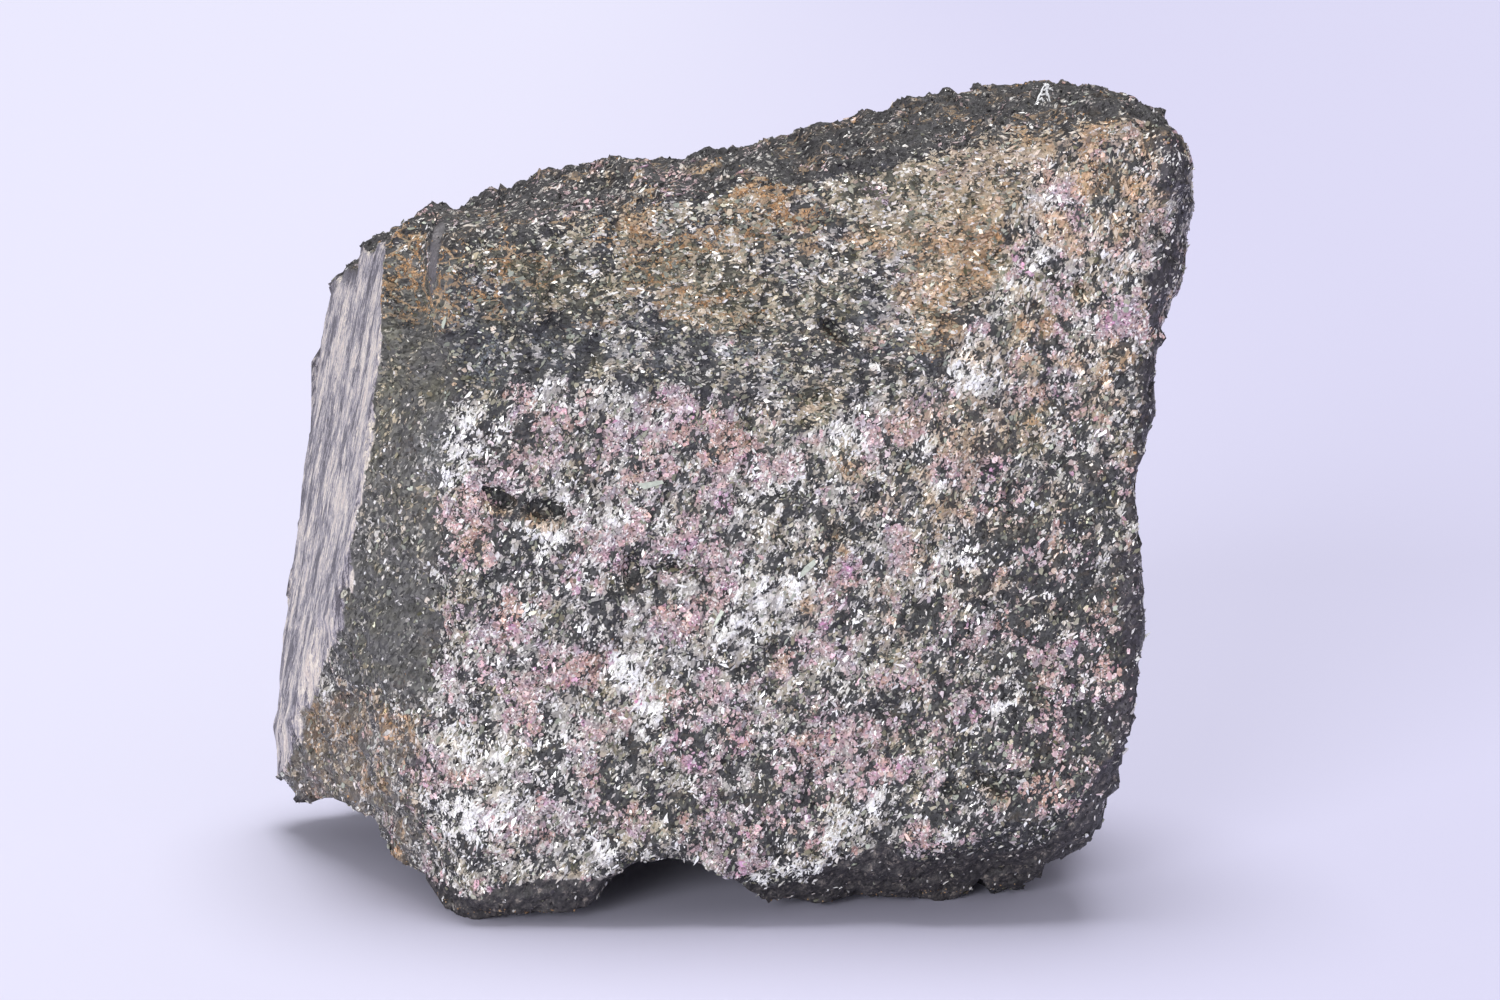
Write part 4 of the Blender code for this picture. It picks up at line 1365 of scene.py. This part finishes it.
class SPECIMEN_OT_lint(bpy.types.Operator):
    """Lays the stray white fibres on the stone's top edge"""

    bl_idname = "specimen.lint"
    bl_label = "Lint"

    # Where it clings, and its strands seen from the front, each a run of x and z from there.
    TUFT = np.array((34.7, -13.6, 84.7))
    STRANDS = (
        ((-1.0, -0.7), (-0.5, 0.6), (0.05, 1.9)),
        ((0.05, 1.9), (0.4, 0.8), (0.8, -0.2)),
        ((-0.5, 0.6), (0.1, 0.9), (0.6, 0.6)),
        ((-0.1, 1.9), (0.5, 1.8), (0.2, 1.0)),
        ((0.3, 0.4), (0.6, -0.5), (0.2, -1.1)),
        ((-0.9, 0.0), (-0.3, 0.4), (0.2, -0.1)),
        ((-0.2, 1.2), (0.5, 1.5), (0.9, 1.2)),
    )
    SIDES = 5
    STEPS = 14
    RADIUS = 0.115

    def execute(self, context):
        rng = np.random.default_rng(606)
        runs = []
        for strand in self.STRANDS:
            share = np.linspace(0, len(strand) - 1, self.STEPS)
            across, up = np.array([np.interp(share, range(len(strand)), part) for part in zip(*strand)])
            path = self.TUFT + np.stack([across, np.linspace(-0.1, 0.1, self.STEPS), up], 1)
            runs.append(path + 0.05 * rng.normal(size=(self.STEPS, 3)))
        tubes = []
        for path in runs:
            forward = unit(np.gradient(path, axis=0))
            side = unit(np.cross(forward, np.array((0.1, 1.0, 0.2))))
            over = np.cross(forward, side)
            turn = np.arange(self.SIDES) * 2 * math.pi / self.SIDES
            thin = self.RADIUS * np.sin(np.linspace(0.35, math.pi - 0.35, len(path)))[:, None, None]
            ring = np.cos(turn)[None, :, None] * side[:, None, :] + np.sin(turn)[None, :, None] * over[:, None, :]
            tubes.append(path[:, None, :] + thin * ring)
        tubes = np.array(tubes)
        count = self.STEPS * self.SIDES
        loops, sizes = [], []
        for tube in range(len(self.STRANDS)):
            first = tube * count
            for step in range(self.STEPS - 1):
                for side in range(self.SIDES):
                    after = (side + 1) % self.SIDES
                    low, high = first + step * self.SIDES, first + (step + 1) * self.SIDES
                    loops += [low + side, low + after, high + after, high + side]
                    sizes.append(4)
            loops += [first + side for side in reversed(range(self.SIDES))]
            loops += [first + count - self.SIDES + side for side in range(self.SIDES)]
            sizes += [self.SIDES, self.SIDES]
        flat = tubes.reshape(-1, 3)
        index = np.arange(len(flat))
        step = index % count // self.SIDES / self.STEPS
        uv = np.stack([(index // count + 0.1 + 0.8 * (index % self.SIDES) / self.SIDES) / len(self.STRANDS), step + 0.03], 1)
        colours = context.scene.stone_colours
        own = np.tile(np.array(colours.lint_white), (len(flat), 1))
        own = own * rng.uniform(0.8, 1.05, len(self.STRANDS)).repeat(count)[:, None]
        loops = np.array(loops)
        material = mineral_finish("lint", 0.7, 0.3, shine=0.3)
        piece = joined_mesh("lint_tuft", flat, loops, np.array(sizes), uv[loops], own, material)
        piece.data.shade_smooth()
        return {"FINISHED"}


class SPECIMEN_OT_studio(bpy.types.Operator):
    """Makes the pale floor, the soft lights and the camera"""

    bl_idname = "specimen.studio"
    bl_label = "Studio"

    AIM = (4.13, -20.99, 44.0)

    def execute(self, context):
        settings = context.scene.studio
        self.floor(settings)
        self.air(context, settings)
        self.lamp("overhead", 84, 165, 36, settings.over_strength)
        self.lamp("front", 13, -24, 24, settings.front_strength)
        self.lens(context, settings)
        context.scene.view_settings.view_transform = "Standard"
        return {"FINISHED"}

    def floor(self, settings):
        """A wide pale floor, with painted shade that darkens it a little to the right of the stone."""
        around = 64
        radii = (0.3, 1.0, 3.0, 9.0, 30.0)
        points, faces = [(0.0, 0.0, 0.0)], []
        for radius in radii:
            for turn in range(around):
                angle = 2 * math.pi * turn / around
                points.append((radius * math.cos(angle), radius * math.sin(angle), 0.0))
        for turn in range(around):
            faces.append((0, 1 + turn, 1 + (turn + 1) % around))
        for ring in range(len(radii) - 1):
            for turn in range(around):
                after = (turn + 1) % around
                low, high = 1 + ring * around, 1 + (ring + 1) * around
                faces.append((low + turn, high + turn, high + after, low + after))
        mesh = bpy.data.meshes.new("studio_floor")
        mesh.from_pydata(points, [], faces)
        finish = Finish("pale_paper")
        here = finish.places()
        fibres = finish.noise(here, 3.0, 3.0)
        to_right = finish.node("ShaderNodeSeparateXYZ", {}, {0: here})[0].rise(-120, 160)
        # Painted shade: the paper darkens towards the right.
        shaded = tuple(part * much for part, much in zip(settings.floor_colour, (0.87, 0.86, 0.925)))
        paper = finish.blend(to_right, settings.floor_colour, shaded)
        finish.set(Base_Color=paper, Roughness=0.8 + (fibres - 0.5) * 0.1, Normal=finish.bump(fibres, 0.01, 0.05))
        finish.set(Specular_IOR_Level=0.2)
        mesh.materials.append(finish.material)
        floor = bpy.data.objects.new("studio_floor", mesh)
        bpy.context.scene.collection.objects.link(floor)

    def air(self, context, settings):
        """Even light from all round, and a pale backdrop past the floor's edge."""
        world = bpy.data.worlds.new("studio_air")
        world.use_nodes = True
        tree = world.node_tree
        light = tree.nodes["Background"]
        light.inputs["Color"].default_value = tuple(settings.air_colour) + (1.0,)
        light.inputs["Strength"].default_value = settings.air_strength
        seen = tree.nodes.new("ShaderNodeBackground")
        seen.inputs["Color"].default_value = tuple(settings.backdrop_colour) + (1.0,)
        either = tree.nodes.new("ShaderNodeMixShader")
        path = tree.nodes.new("ShaderNodeLightPath")
        tree.links.new(path.outputs["Is Camera Ray"], either.inputs[0])
        tree.links.new(light.outputs[0], either.inputs[1])
        tree.links.new(seen.outputs[0], either.inputs[2])
        tree.links.new(either.outputs[0], tree.nodes["World Output"].inputs["Surface"])
        context.scene.world = world

    def lamp(self, name, height, side, spread, strength):
        """A wide soft light, as far off as a big screen: how high it stands, how far to the side of the camera
        and how wide it looks from the stone, in degrees."""
        light = bpy.data.lights.new(name, "SUN")
        light.energy = strength
        light.angle = math.radians(spread)
        lamp = bpy.data.objects.new(name, light)
        up, turn = math.radians(height), math.radians(side)
        back = Vector((math.sin(turn) * math.cos(up), -math.cos(turn) * math.cos(up), math.sin(up)))
        lamp.location = back
        lamp.rotation_euler = (-back).to_track_quat("-Z", "Y").to_euler()
        bpy.context.scene.collection.objects.link(lamp)

    def lens(self, context, settings):
        """The camera, looking a little down at the show face."""
        camera = bpy.data.cameras.new("camera")
        camera.lens = settings.lens
        camera.sensor_width = 36.0
        camera.clip_start = 0.01
        aim = Vector(self.AIM) * MM
        back = Vector((0, -math.cos(settings.camera_height), math.sin(settings.camera_height)))
        watcher = bpy.data.objects.new("camera", camera)
        watcher.location = aim + back * settings.camera_distance
        watcher.rotation_euler = (-back).to_track_quat("-Z", "Y").to_euler()
        bpy.context.scene.collection.objects.link(watcher)
        context.scene.camera = watcher


OPERATORS = (
    SPECIMEN_OT_stone,
    SPECIMEN_OT_plates,
    SPECIMEN_OT_flakes,
    SPECIMEN_OT_grains,
    SPECIMEN_OT_crust,
    SPECIMEN_OT_leaves,
    SPECIMEN_OT_lint,
    SPECIMEN_OT_studio,
)


class SPECIMEN_PT_panel(bpy.types.Panel):
    """Lists the specimen's pieces and settings"""

    bl_idname = "SPECIMEN_PT_panel"
    bl_label = "Stichtite on Chromite"
    bl_space_type = "VIEW_3D"
    bl_region_type = "UI"
    bl_category = "Specimen"

    def draw(self, context):
        for operator in OPERATORS:
            self.layout.operator(operator.bl_idname)
        for group in (context.scene.stone_sizes, context.scene.stone_colours, context.scene.studio):
            box = self.layout.box()
            for name in group.__annotations__:
                box.prop(group, name)


CLASSES = (StoneSizes, StoneColours, StudioSettings) + OPERATORS + (SPECIMEN_PT_panel,)


def register():
    for made in CLASSES:
        bpy.utils.register_class(made)
    bpy.types.Scene.stone_sizes = bpy.props.PointerProperty(type=StoneSizes)
    bpy.types.Scene.stone_colours = bpy.props.PointerProperty(type=StoneColours)
    bpy.types.Scene.studio = bpy.props.PointerProperty(type=StudioSettings)


def unregister():
    del bpy.types.Scene.studio
    del bpy.types.Scene.stone_colours
    del bpy.types.Scene.stone_sizes
    for made in reversed(CLASSES):
        bpy.utils.unregister_class(made)


def main():
    """Builds every piece."""
    register()
    for operator in OPERATORS:
        group, name = operator.bl_idname.split(".")
        getattr(getattr(bpy.ops, group), name)()


if __name__ == "__main__":
    main()
